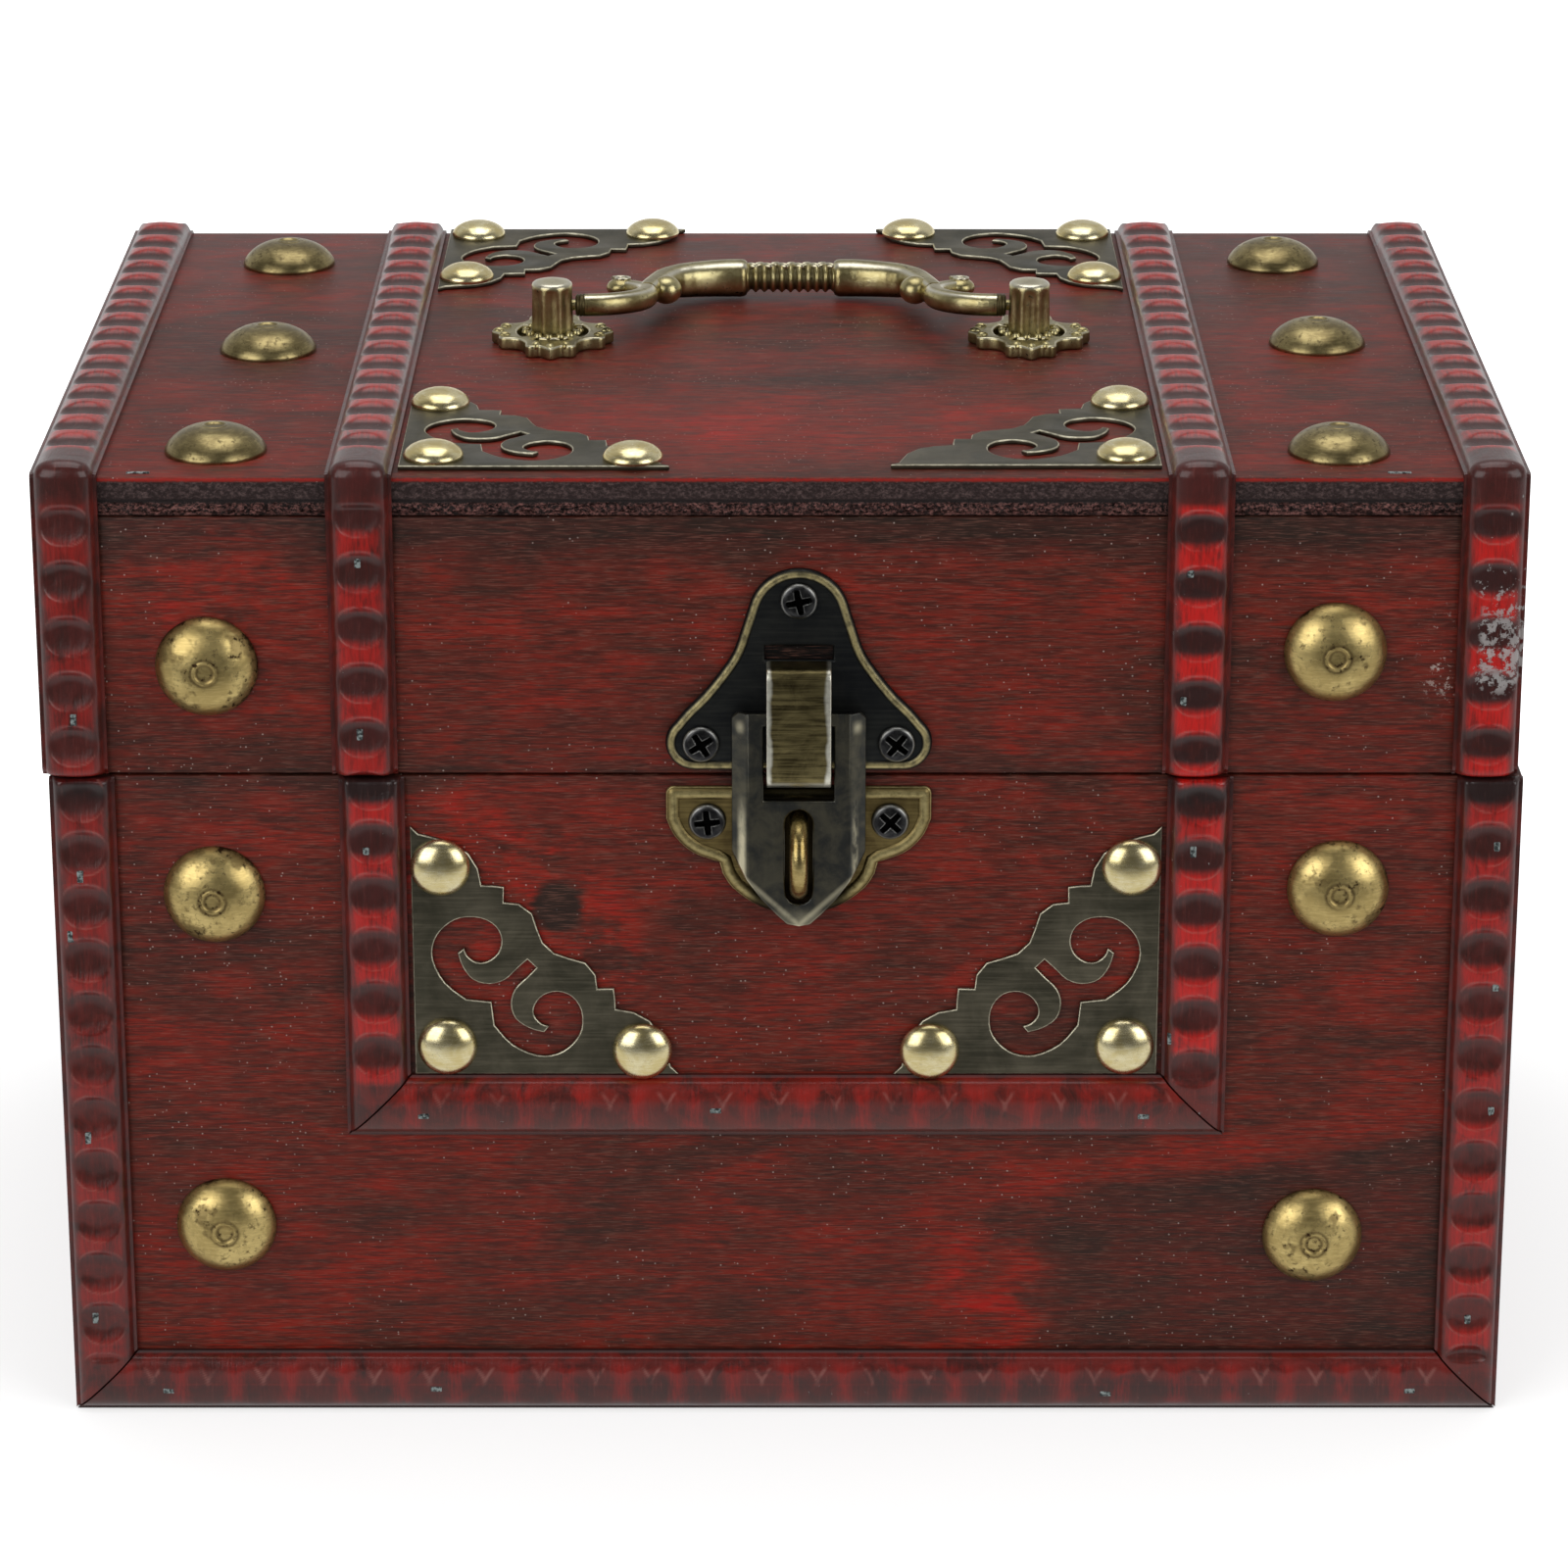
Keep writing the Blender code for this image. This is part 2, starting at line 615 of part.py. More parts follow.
# Corner plates, with their outline and scrolled opening symmetric about the diagonal
PLATE_EDGE_SHARES = (
    (0.000, 0.993),
    (0.030, 0.963),
    (0.080, 0.950),
    (0.150, 0.930),
    (0.215, 0.885),
    (0.250, 0.825),
    (0.262, 0.758),
)
PLATE_STEP_SHARES = ((0.346, 0.752), (0.344, 0.690))
PLATE_WAVE_SHARES = ((0.400, 0.684), (0.449, 0.646), (0.468, 0.583), (0.487, 0.530))
SCROLL_OUTER_SHARES = (
    (0.198, 0.302),
    (0.120, 0.368),
    (0.076, 0.461),
    (0.083, 0.537),
    (0.122, 0.593),
    (0.180, 0.627),
    (0.256, 0.627),
    (0.312, 0.593),
    (0.332, 0.540),
    (0.318, 0.488),
    (0.280, 0.456),
    (0.239, 0.451),
    (0.205, 0.476),
    (0.193, 0.507),
)
SCROLL_INNER_SHARES = (
    (0.168, 0.488),
    (0.185, 0.432),
    (0.224, 0.380),
    (0.285, 0.363),
    (0.344, 0.380),
    (0.393, 0.427),
    (0.429, 0.461),
)
SCROLL_CUSP_SHARE = 0.292
PLATE_NAIL_SHARES = {"upper": (0.110, 0.833), "corner": (0.124, 0.115), "lower": (0.857, 0.096)}


def mirrored(points):
    """The same points reflected in the plate's diagonal, in reverse order."""
    return [(second, first) for first, second in reversed(points)]


def plate_outlines():
    half_edge = [*PLATE_EDGE_SHARES, *PLATE_STEP_SHARES, *PLATE_WAVE_SHARES]
    border = half_edge + mirrored(half_edge) + [(0, 0)]
    cusp = (SCROLL_CUSP_SHARE, SCROLL_CUSP_SHARE)
    hook = [*SCROLL_OUTER_SHARES, *SCROLL_INNER_SHARES]
    opening = [cusp] + hook + mirrored(hook)
    return [[(PLATE_LEG * u, PLATE_LEG * v) for u, v in outline] for outline in (border, opening)]


def nail_mesh(name, centre):
    """A round nail head standing on the plate, sunk a little so that the two fuse."""
    sunk = PLATE_THICKNESS / 2
    swell_shares = ((0.0, 1.0), (0.42, 0.91), (0.78, 0.60), (1.0, 0.12))
    profile = [(NAIL_RADIUS * across, NAIL_RISE * up) for across, up in swell_shares]
    profile += [(NAIL_RADIUS, -sunk), (0, -sunk)]
    return turned_mesh(name, profile, SMALL_STEPS, UP, centre)


def add_corner_plate(name, corner, along_leg, up_leg, out, empty_nail=None):
    """A plate whose right-angled corner and two legs are given, lying on the face whose normal is out."""
    plate = outline_mesh(name, plate_outlines(), PLATE_THICKNESS)
    plate.transform(Matrix.Translation((0, 0, PLATE_THICKNESS / 2)))
    heads = []
    holes = []
    for nail, (u, v) in PLATE_NAIL_SHARES.items():
        centre = Vector((PLATE_LEG * u, PLATE_LEG * v, PLATE_THICKNESS))
        if nail == empty_nail:
            holes.append(
                shank_hole(name + "_hole", centre, UP, PLATE_NAIL_HOLE_RADIUS, PLATE_THICKNESS * 2)
            )
        else:
            heads.append(nail_mesh(f"{name}_{nail}_nail", centre))
    plate = fused_mesh(name, [plate, *heads])
    if holes:
        plate = cut_mesh(name, plate, holes)
    along_leg = Vector(along_leg)
    up_leg = Vector(up_leg)
    out = Vector(out)
    axes = Matrix((along_leg, up_leg, out)).transposed().to_4x4()
    plate.transform(Matrix.Translation(Vector(corner) + out * FIT) @ axes)
    if axes.determinant() < 0:
        plate.flip_normals()
    return add_piece(name, smooth_round(plate), DARK_BRONZE)


def add_corner_plates():
    field_x = INNER_MOULDING_X - MOULDING_WIDTH / 2 - PLATE_SIDE_INSET
    sill_z = FRAME_BASE_Z + MOULDING_WIDTH / 2 + PLATE_SILL_INSET
    for side in (LEFT, RIGHT):
        inward = Vector((-side, 0, 0))
        name = f"case_corner_plate_{SIDE_NAMES[side]}"
        corner = Vector((CASE_X + side * field_x, FRONT_Y, sill_z))
        add_corner_plate(name, corner, inward, UP, FRONT)
        for row, y, toward in (
            ("front", FRONT_Y + PLATE_FRONT_INSET, Vector((0, 1, 0))),
            ("rear", BACK_Y - PLATE_REAR_INSET, Vector((0, -1, 0))),
        ):
            name = f"top_corner_plate_{row}_{SIDE_NAMES[side]}"
            corner = Vector((LID_X + side * field_x, y, LID_TOP_Z))
            lost_nail = "lower" if (row, side) == ("front", RIGHT) else None
            add_corner_plate(name, corner, inward, toward, UP, lost_nail)


# Hasp latch: a plate with a curled tongue, a hasp that hangs on it, a catch plate and a staple
def screw_head_mesh(name, x, z, face):
    """A low domed screw head standing on a sheet whose face is at the given distance out."""
    sunk = LATCH_SHEET / 2
    swell_shares = ((0.0, 1.0), (0.45, 0.92), (0.80, 0.62), (1.0, 0.25))
    profile = [(SCREW_RADIUS * across, SCREW_RISE * up) for across, up in swell_shares]
    profile += [(SCREW_RADIUS, -sunk), (0, -sunk)]
    place = Vector((x, FRONT_Y - face, z))
    return turned_mesh(name, profile, SMALL_STEPS, FRONT, place)


def two_sided(right_half):
    """A closed outline from its right half, which runs from the top middle to the foot middle."""
    left_half = [(-x, z) for x, z in reversed(right_half) if x > 0]
    return right_half + left_half


LATCH_FLANK_SHARES = ((0.425, 0.710), (0.490, 0.590), (0.590, 0.490), (0.720, 0.385), (0.850, 0.300))


def latch_plate_outline():
    """Bell outline: a round crown, hollow flanks and two round lobes at the foot."""
    half = LATCH_WIDTH / 2
    crown = arc((0, LATCH_HEIGHT - LATCH_CROWN_RADIUS), LATCH_CROWN_RADIUS, 90, 15, 6)
    crown[0] = (0, LATCH_HEIGHT)
    flank = [(half * across, LATCH_HEIGHT * up) for across, up in LATCH_FLANK_SHARES]
    lobe = arc((half - LATCH_LOBE_RADIUS, LATCH_LOBE_RADIUS), LATCH_LOBE_RADIUS, 48, -90, 8)
    return two_sided(crown + flank + lobe)


def tongue_mesh():
    """The strip that curls forward from the plate's foot, runs up and folds back into its slot."""
    sheet = TONGUE_SHEET
    back = FIT + LATCH_SHEET / 2
    curl = (TONGUE_REACH - back) / 2
    foot = -TONGUE_BELOW_PLATE + sheet / 2
    middle = [(back, foot + curl + sheet)]
    middle += arc((back + curl, foot + curl), curl, 180, 360, 9)
    fold_z = TONGUE_HEIGHT - TONGUE_BELOW_PLATE - TONGUE_FOLD_RADIUS - sheet / 2
    middle += arc((TONGUE_REACH - TONGUE_FOLD_RADIUS, fold_z), TONGUE_FOLD_RADIUS, 0, 90, 4)
    middle += [(back, fold_z + TONGUE_FOLD_RADIUS)]
    outer = []
    inner = []
    for index, point in enumerate(middle):
        before = Vector(middle[max(index - 1, 0)])
        after = Vector(middle[min(index + 1, len(middle) - 1)])
        normal = (after - before).normalized().orthogonal() * sheet / 2
        outer.append(tuple(Vector(point) + normal))
        inner.append(tuple(Vector(point) - normal))
    mesh = outline_mesh("tongue", [outer + inner[::-1]], TONGUE_WIDTH)
    turn = Matrix(((0, 0, 1, 0), (-1, 0, 0, 0), (0, 1, 0, 0), (0, 0, 0, 1)))
    place = Matrix.Translation((LATCH_X, FRONT_Y, LATCH_FOOT_Z))
    mesh.transform(place @ turn)
    bm = bmesh.new()
    bm.from_mesh(mesh)
    return mesh_of(bm, "tongue")


def rectangle(width, low, high):
    return [(-width / 2, low), (width / 2, low), (width / 2, high), (-width / 2, high)]


def add_latch_plate():
    slot_low = TONGUE_HEIGHT - TONGUE_BELOW_PLATE + FIT
    slot = rectangle(TONGUE_WIDTH + 2 * FIT, slot_low, slot_low + TONGUE_SLOT_HEIGHT)
    plate = outline_mesh("latch_plate", [latch_plate_outline(), slot], LATCH_SHEET)
    place = Matrix.Translation((LATCH_X, 0, LATCH_FOOT_Z)) @ on_front(FIT + LATCH_SHEET / 2)
    plate.transform(place)
    face = FIT + LATCH_SHEET
    heads = [
        screw_head_mesh("latch_top_screw", LATCH_X, LATCH_FOOT_Z + LATCH_TOP_SCREW_Z, face),
        screw_head_mesh("latch_left_screw", LATCH_X - LATCH_SCREW_X, LATCH_FOOT_Z + LATCH_SCREW_Z, face),
        screw_head_mesh("latch_right_screw", LATCH_X + LATCH_SCREW_X, LATCH_FOOT_Z + LATCH_SCREW_Z, face),
    ]
    mesh = fused_mesh("latch_plate", [plate, tongue_mesh(), *heads])
    add_piece("latch_plate", smooth_round(mesh), LATCH_BRONZE)


CATCH_EDGE_SHARES = ((1.000, 0.250), (0.935, 0.390), (0.800, 0.515), (0.600, 0.590))
CATCH_LOBE_SHARES = ((0.575, 0.680), (0.500, 0.790), (0.350, 0.905), (0.180, 0.975), (0.000, 1.000))


def catch_plate_outline():
    """Square shoulders at the top, rounded below, then a notch and a round foot."""
    half = LATCH_WIDTH / 2
    radius = CATCH_CORNER_RADIUS
    corner = arc((half - radius, -radius), radius, 90, 0, 3)
    shares = smoothed(CATCH_EDGE_SHARES) + smoothed(CATCH_LOBE_SHARES)
    edge = [(half * across, -CATCH_HEIGHT * down) for across, down in shares]
    return two_sided(corner + edge)


def add_catch_plate():
    plate = outline_mesh("catch_plate", [catch_plate_outline()], LATCH_SHEET)
    plate.transform(Matrix.Translation((LATCH_X, 0, CATCH_TOP_Z)) @ on_front(FIT + LATCH_SHEET / 2))
    radius = STAPLE_WIRE_RADIUS + SHANK_CLEARANCE
    holes = [
        shank_hole(f"catch_hole_{index}", foot + FRONT * (FIT + LATCH_SHEET), FRONT, radius, WALL)
        for index, foot in enumerate(staple_feet())
    ]
    plate = cut_mesh("catch_plate", plate, holes)
    face = FIT + LATCH_SHEET
    screw_z = CATCH_TOP_Z - CATCH_SCREW_Z
    heads = [
        screw_head_mesh(f"catch_screw_{side}", LATCH_X + side * CATCH_SCREW_X, screw_z, face)
        for side in (LEFT, RIGHT)
    ]
    mesh = fused_mesh("catch_plate", [plate, *heads])
    add_piece("catch_plate", smooth_round(mesh), CATCH_BRASS)


def add_staple():
    """A round wire bent to a half ring, whose legs go through the catch plate into the board."""
    bend = STAPLE_REACH - STAPLE_WIRE_RADIUS - STAPLE_BEND_RADIUS
    path = [(-STAPLE_LEG_IN_WOOD, -STAPLE_BEND_RADIUS)]
    path += arc((bend, 0), STAPLE_BEND_RADIUS, -90, 90, 12)
    path += [(-STAPLE_LEG_IN_WOOD, STAPLE_BEND_RADIUS)]
    points = [(LATCH_X, FRONT_Y - depth, STAPLE_CENTRE_Z + rise) for depth, rise in path]
    mesh = tube_mesh("staple", points, [STAPLE_WIRE_RADIUS] * len(points))
    add_piece("staple", smooth_round(mesh), CATCH_BRASS)


def hasp_section():
    """Channel section as (across, out): a flat face and two sides that slope back."""
    face = HASP_FACE_WIDTH / 2
    edge = HASP_WIDTH / 2
    back = HASP_FRONT - HASP_SIDE_DEPTH
    right = [(face, HASP_FRONT), (edge, back), (edge - HASP_SHEET, back)]
    right += [(face - HASP_SHEET / 2, HASP_FRONT - HASP_SHEET)]
    left = [(-x, depth) for x, depth in reversed(right)]
    return right + left


HASP_TIP_SHARES = ((1.000, 1.000), (0.800, 0.670), (0.560, 0.380), (0.340, 0.170), (0.170, 0.030))


def hasp_outline():
    """Straight sides that draw in to a blunt rounded tip, as (across, up) from the tip."""
    half = HASP_WIDTH / 2
    corner = HASP_SHEET
    head = [(half - corner, HASP_LENGTH), (half, HASP_LENGTH - corner)]
    tip = [(half * across, HASP_SHOULDER_ABOVE_TIP * up) for across, up in HASP_TIP_SHARES]
    return two_sided(head + tip + [(0, 0)])


def add_hasp():
    channel = outline_mesh("hasp", [hasp_section()], HASP_LENGTH + 2 * CUT_OVERRUN)
    turn = Matrix(((1, 0, 0, 0), (0, -1, 0, 0), (0, 0, 1, 0), (0, 0, 0, 1)))
    middle = Matrix.Translation((0, 0, HASP_LENGTH / 2)) @ turn
    channel.transform(middle)
    bm = bmesh.new()
    bm.from_mesh(channel)
    channel = mesh_of(bm, "hasp")
    slot_radius = HASP_SLOT_WIDTH / 2
    slot_low = HASP_SLOT_ABOVE_TIP + slot_radius
    slot_high = HASP_SLOT_ABOVE_TIP + HASP_SLOT_HEIGHT - slot_radius
    slot = arc((0, slot_high), slot_radius, 0, 180, 8) + arc((0, slot_low), slot_radius, 180, 360, 8)
    window_high = HASP_LENGTH - HASP_BAR
    window = rectangle(TONGUE_WIDTH + 2 * BAIL_SIDE_GAP, window_high - HASP_WINDOW_HEIGHT, window_high)
    outline = outline_mesh("hasp_outline", [hasp_outline(), window, slot], 4 * HASP_FRONT)
    outline.transform(FACING_FRONT)
    base = bpy.data.objects.new("hasp_channel", channel)
    box_cutters.objects.link(base)
    helper = add_cutter("hasp_edge", outline)
    combine(base, helper, "INTERSECT")
    mesh = evaluated_mesh(base, "hasp")
    for used in (base, helper):
        bpy.data.objects.remove(used, do_unlink=True)
    place = Matrix.Translation((LATCH_X, FRONT_Y, HASP_TIP_Z))
    mesh.transform(Matrix.Translation(-HASP_AXIS) @ place)
    hasp = add_piece("hasp", smooth_round(mesh), LATCH_BRONZE)
    hasp.location = HASP_AXIS


# Bail handle: two fluted posts on pierced rosettes carry a scrolled bail
ROSETTE_LOBES_SHARES = ((0, 1.00), (8, 0.90), (13, 0.87), (20, 0.93), (27, 0.90), (34, 0.76), (45, 0.70))


def rosette_outline():
    """Four three-lobed corners with hollow sides between them."""
    quarter = [(angle, radius) for angle, radius in ROSETTE_LOBES_SHARES]
    quarter += [(90 - angle, radius) for angle, radius in reversed(ROSETTE_LOBES_SHARES[1:-1])]
    outline = []
    for turn in range(4):
        for angle, radius in quarter:
            direction = math.radians(angle + 90 * turn)
            reach = ROSETTE_RADIUS * radius
            outline.append((reach * math.cos(direction), reach * math.sin(direction)))
    return outline


def rosette_windows():
    """Four curved openings between the hub and the rim, parted by spokes."""
    windows = []
    half_spoke = math.degrees(ROSETTE_SPOKE_WIDTH / 2 / ROSETTE_HUB_RADIUS)
    for turn in range(4):
        low = 45 + 90 * turn + half_spoke
        high = 135 + 90 * turn - half_spoke
        outer = arc((0, 0), ROSETTE_RIM_INNER_RADIUS, low, high, 5)
        inner = arc((0, 0), ROSETTE_HUB_RADIUS, high, low, 5)
        windows.append(outer + inner)
    return windows


def post_mesh(name):
    """A tapered post with shallow flutes and a domed top, its foot sunk in the rosette."""
    top = POST_HEIGHT
    crown_shares = ((0.0, 1.0), (0.45, 0.985), (0.80, 0.945), (1.0, 0.87))
    profile = [(POST_TOP_RADIUS * across, top * up) for across, up in crown_shares]
    profile += [(POST_FOOT_RADIUS, ROSETTE_HEIGHT * 1.1), (POST_FOOT_RADIUS, ROSETTE_HEIGHT / 2)]
    profile += [(0, ROSETTE_HEIGHT / 2)]
    mesh = turned_mesh(name, profile, 2 * POST_FLUTES)
    crown_z = top * crown_shares[-1][1]
    for vertex in mesh.vertices:
        radius = math.hypot(vertex.co.x, vertex.co.y)
        if radius > POST_TOP_RADIUS / 2 and vertex.co.z <= crown_z:
            angle = math.atan2(vertex.co.y, vertex.co.x)
            depth = POST_FLUTE_DEPTH * (1 + math.cos(POST_FLUTES * angle)) / 2
            vertex.co.x *= 1 - depth / radius
            vertex.co.y *= 1 - depth / radius
    return mesh


def add_handle_posts():
    """Posts with a bore for the bail's pin and a blind hole for the screw from below."""
    holes = []
    for side in (LEFT, RIGHT):
        name = f"handle_post_{SIDE_NAMES[side]}"
        place = Vector((HANDLE_X + side * POST_SPREAD / 2, HANDLE_Y, LID_TOP_Z))
        rosette = outline_mesh(name, [rosette_outline(), *rosette_windows()], ROSETTE_HEIGHT)
        rosette.transform(Matrix.Diagonal((1, ROSETTE_DEPTH_SHARE, 1, 1)))
        rosette.transform(Matrix.Translation((0, 0, ROSETTE_HEIGHT / 2)))
        body = fused_mesh(name, [rosette, post_mesh(name)])
        inward = Vector((-side, 0, 0))
        bore_radius = BAIL_PIN_RADIUS + BAIL_PIN_CLEARANCE
        bore_mouth = Vector((0, 0, BAIL_PIVOT_HEIGHT - FIT)) + inward * POST_FOOT_RADIUS
        bore = shank_hole(name + "_bore", bore_mouth, inward, bore_radius, BAIL_PIN_LENGTH + SHANK_CLEARANCE)
        screw_radius = HANDLE_SCREW_RADIUS + SHANK_CLEARANCE
        screw_depth = HANDLE_SCREW_IN_POST + SHANK_CLEARANCE
        down = Vector((0, 0, -1))
        blind = shank_hole(name + "_blind", Vector((0, 0, 0)), down, screw_radius, screw_depth)
        body = cut_mesh(name, body, [bore, blind])
        body.transform(Matrix.Translation(place + UP * FIT))
        add_piece(name, smooth_round(body), HANDLE_BRASS)
        screw_name = f"handle_screw_{SIDE_NAMES[side]}"
        inside = place - UP * (TOP_BOARD + FIT)
        shank = TOP_BOARD + FIT + HANDLE_SCREW_IN_POST
        head_shares = ((1.0, 0.25), (0.80, 0.70), (0.40, 0.95), (0.0, 1.0))
        profile = [(0, shank), (HANDLE_SCREW_RADIUS, shank), (HANDLE_SCREW_RADIUS, 0)]
        profile += [(HANDLE_SCREW_HEAD_RADIUS, 0)]
        profile += [(HANDLE_SCREW_HEAD_RADIUS * a, -HANDLE_SCREW_HEAD_RISE * d) for a, d in head_shares]
        screw = turned_mesh(screw_name, profile, SMALL_STEPS, UP, inside)
        add_piece(screw_name, smooth_round(screw), STUD_BRASS)
        overrun = TOP_BOARD + CUT_OVERRUN
        holes.append(shank_hole(screw_name + "_hole", place, UP, screw_radius, overrun))
    return holes


def grip_mesh():
    """The ribbed middle of the bail, turned about the X axis."""
    half = GRIP_LENGTH / 2
    profile = [(0, half)]
    count = 2 * GRIP_RIBS
    for step in range(count + 1):
        depth = GRIP_RIB_DEPTH if step % 2 else 0
        profile.append((GRIP_RADIUS - depth, half - GRIP_LENGTH * step / count))
    profile.append((0, -half))
    return turned_mesh("grip", profile, SMALL_STEPS, Vector((1, 0, 0)), Vector((0, BAIL_REACH, 0)))


def bail_side_meshes(side):
    """Pin, scroll, ball, bead and arm of one side, in the bail's own flat plane about its axis."""
    post_face = POST_SPREAD / 2 - POST_FOOT_RADIUS
    rod_end = post_face - BAIL_SIDE_GAP
    scroll_x = rod_end - 2 * BAIL_SIDE_GAP
    centre = (scroll_x, SCROLL_RADIUS)
    path = [(rod_end, 0)] + arc(centre, SCROLL_RADIUS, 270, 124, 14)
    scroll = [(side * x, y, 0) for x, y in path]
    ball = Vector(scroll[-1])
    bead_share = (0.87, 0.55)
    bead = Vector((side * (scroll_x - SCROLL_RADIUS) * bead_share[0], BAIL_REACH * bead_share[1], 0))
    root = Vector((side * (scroll_x - SCROLL_RADIUS), SCROLL_RADIUS * 1.25, 0))
    arm_shares = ((0.88, 0.78), (0.76, 0.90), (0.61, 0.965), (0.45, 1.0), (0.30, 1.0))
    inner_x = scroll_x - SCROLL_RADIUS
    arm = [root] + [Vector((side * inner_x * a, BAIL_REACH * r, 0)) for a, r in arm_shares]
    arm_radius_shares = (0.0, 0.55, 0.80, 0.92, 1.0, 0.95)
    swell = ARM_RADIUS - ARM_FOOT_RADIUS
    arm_radii = [ARM_FOOT_RADIUS + swell * share for share in arm_radius_shares]
    pin = [(side * rod_end, 0, 0), (side * (post_face + BAIL_PIN_LENGTH - FIT), 0, 0)]
    pin[0] = (side * (rod_end - BAIL_ROD_RADIUS), 0, 0)
    return [
        tube_mesh("scroll", scroll, [BAIL_ROD_RADIUS] * len(scroll)),
        ball_mesh("scroll_ball", ball, SCROLL_BALL_RADIUS),
        ball_mesh("bead", bead, BEAD_RADIUS),
        tube_mesh("arm", arm, arm_radii),
        tube_mesh("bail_pin", pin, [BAIL_PIN_RADIUS] * 2),
    ]


def ball_mesh(name, centre, radius):
    bm = bmesh.new()
    bmesh.ops.create_uvsphere(bm, u_segments=SMALL_STEPS, v_segments=SMALL_STEPS // 2, radius=radius)
    bmesh.ops.translate(bm, verts=bm.verts[:], vec=centre)
    return mesh_of(bm, name)


def add_bail():
    meshes = [grip_mesh(), *bail_side_meshes(LEFT), *bail_side_meshes(RIGHT)]
    mesh = fused_mesh("bail", meshes)
    bail = add_piece("bail", smooth_round(mesh), HANDLE_BRASS)
    bail.location = BAIL_AXIS
    bail.rotation_euler = (-BAIL_DROOP, 0, 0)


# Butt hinges: leaves on the back, three knuckles and a pin
def hinge_leaf_mesh(name, centre_x, side_z, spans, tab_spans):
    """A leaf with its knuckles; side_z is 1 for the lid's leaf and -1 for the case's."""
    axis = HINGE_AXIS
    near = BACK_Y + FIT
    far = near + HINGE_LEAF
    clear = KNUCKLE_RADIUS + KNUCKLE_GAP
    z_low = axis.z + side_z * clear
    z_high = axis.z + side_z * HINGE_LEAF_HEIGHT
    half = HINGE_WIDTH / 2
    bounds = sorted((z_low, z_high))
    low = Vector((centre_x - half, near, bounds[0]))
    high = Vector((centre_x + half, far, bounds[1]))
    pieces = [block_mesh(name, low, high)]
    for start, end in tab_spans:
        tab = sorted((axis.z + side_z * HINGE_LEAF, z_low + side_z * HINGE_LEAF))
        low = Vector((centre_x + start, near, tab[0]))
        high = Vector((centre_x + end, far, tab[1]))
        pieces.append(block_mesh(name + "_tab", low, high))
    for start, end in spans:
        radius = KNUCKLE_RADIUS
        profile = [(0, end - start), (radius, end - start), (radius, 0), (0, 0)]
        place = Vector((centre_x + start, axis.y, axis.z))
        pieces.append(turned_mesh(name + "_knuckle", profile, SMALL_STEPS, Vector((1, 0, 0)), place))
    leaf = fused_mesh(name, pieces)
    bore_radius = HINGE_PIN_RADIUS + HINGE_PIN_CLEARANCE
    reach = half + CUT_OVERRUN
    profile = [(0, reach), (bore_radius, reach), (bore_radius, -reach), (0, -reach)]
    place = Vector((centre_x, axis.y, axis.z))
    bore = turned_mesh(name + "_bore", profile, SMALL_STEPS, Vector((1, 0, 0)), place)
    return cut_mesh(name, leaf, [bore])


def add_hinges():
    half = HINGE_WIDTH / 2
    third = HINGE_WIDTH / 6
    outer = [(-half, -third - KNUCKLE_GAP / 2), (third + KNUCKLE_GAP / 2, half)]
    middle = [(-third + KNUCKLE_GAP / 2, third - KNUCKLE_GAP / 2)]
    for side in (LEFT, RIGHT):
        x = side * HINGE_X
        name = f"lid_hinge_leaf_{SIDE_NAMES[side]}"
        leaf = hinge_leaf_mesh(name, x, 1, middle, middle)
        add_piece(name, smooth_round(leaf), STUD_BRASS)
        name = f"case_hinge_leaf_{SIDE_NAMES[side]}"
        leaf = hinge_leaf_mesh(name, x, -1, outer, outer)
        add_piece(name, smooth_round(leaf), STUD_BRASS)
        name = f"hinge_pin_{SIDE_NAMES[side]}"
        reach = half + KNUCKLE_GAP
        head = reach + HINGE_PIN_HEAD
        profile = [(0, head), (HINGE_PIN_HEAD_RADIUS, head), (HINGE_PIN_HEAD_RADIUS, reach)]
        profile += [(HINGE_PIN_RADIUS, reach), (HINGE_PIN_RADIUS, -reach)]
        profile += [(HINGE_PIN_HEAD_RADIUS, -reach), (HINGE_PIN_HEAD_RADIUS, -head), (0, -head)]
        place = Vector((x, HINGE_AXIS.y, HINGE_AXIS.z))
        pin = turned_mesh(name, profile, SMALL_STEPS, Vector((1, 0, 0)), place)
        add_piece(name, smooth_round(pin), STUD_BRASS)


case_holes = add_studs(case_stud_places(), FRONT)
staple_radius = STAPLE_WIRE_RADIUS + SHANK_CLEARANCE
staple_depth = STAPLE_LEG_IN_WOOD + SHANK_CLEARANCE
for foot_index, staple_foot in enumerate(staple_feet()):
    hole_name = f"staple_hole_{foot_index}"
    case_holes.append(shank_hole(hole_name, staple_foot, FRONT, staple_radius, staple_depth))
add_case_boards(case_holes)
add_case_mouldings()

lid_front_holes = add_studs(lid_front_stud_places(), FRONT)
lid_top_holes = add_studs(top_stud_places(), UP) + add_handle_posts()
add_lid_boards(lid_front_holes, lid_top_holes)
add_lid_mouldings()

add_corner_plates()
add_latch_plate()
add_catch_plate()
add_staple()
add_hasp()
add_bail()
add_hinges()
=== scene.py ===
"""Looks of the wooden storage box: stained boards, pressed mouldings, brass studs, bronze plates, latch and handle.

Metres, +Z up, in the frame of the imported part: the front faces -Y and the box stands on z = 0.
"""

import json
import math

import bmesh
import bpy
import numpy as np
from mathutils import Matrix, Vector
from mathutils.geometry import tessellate_polygon


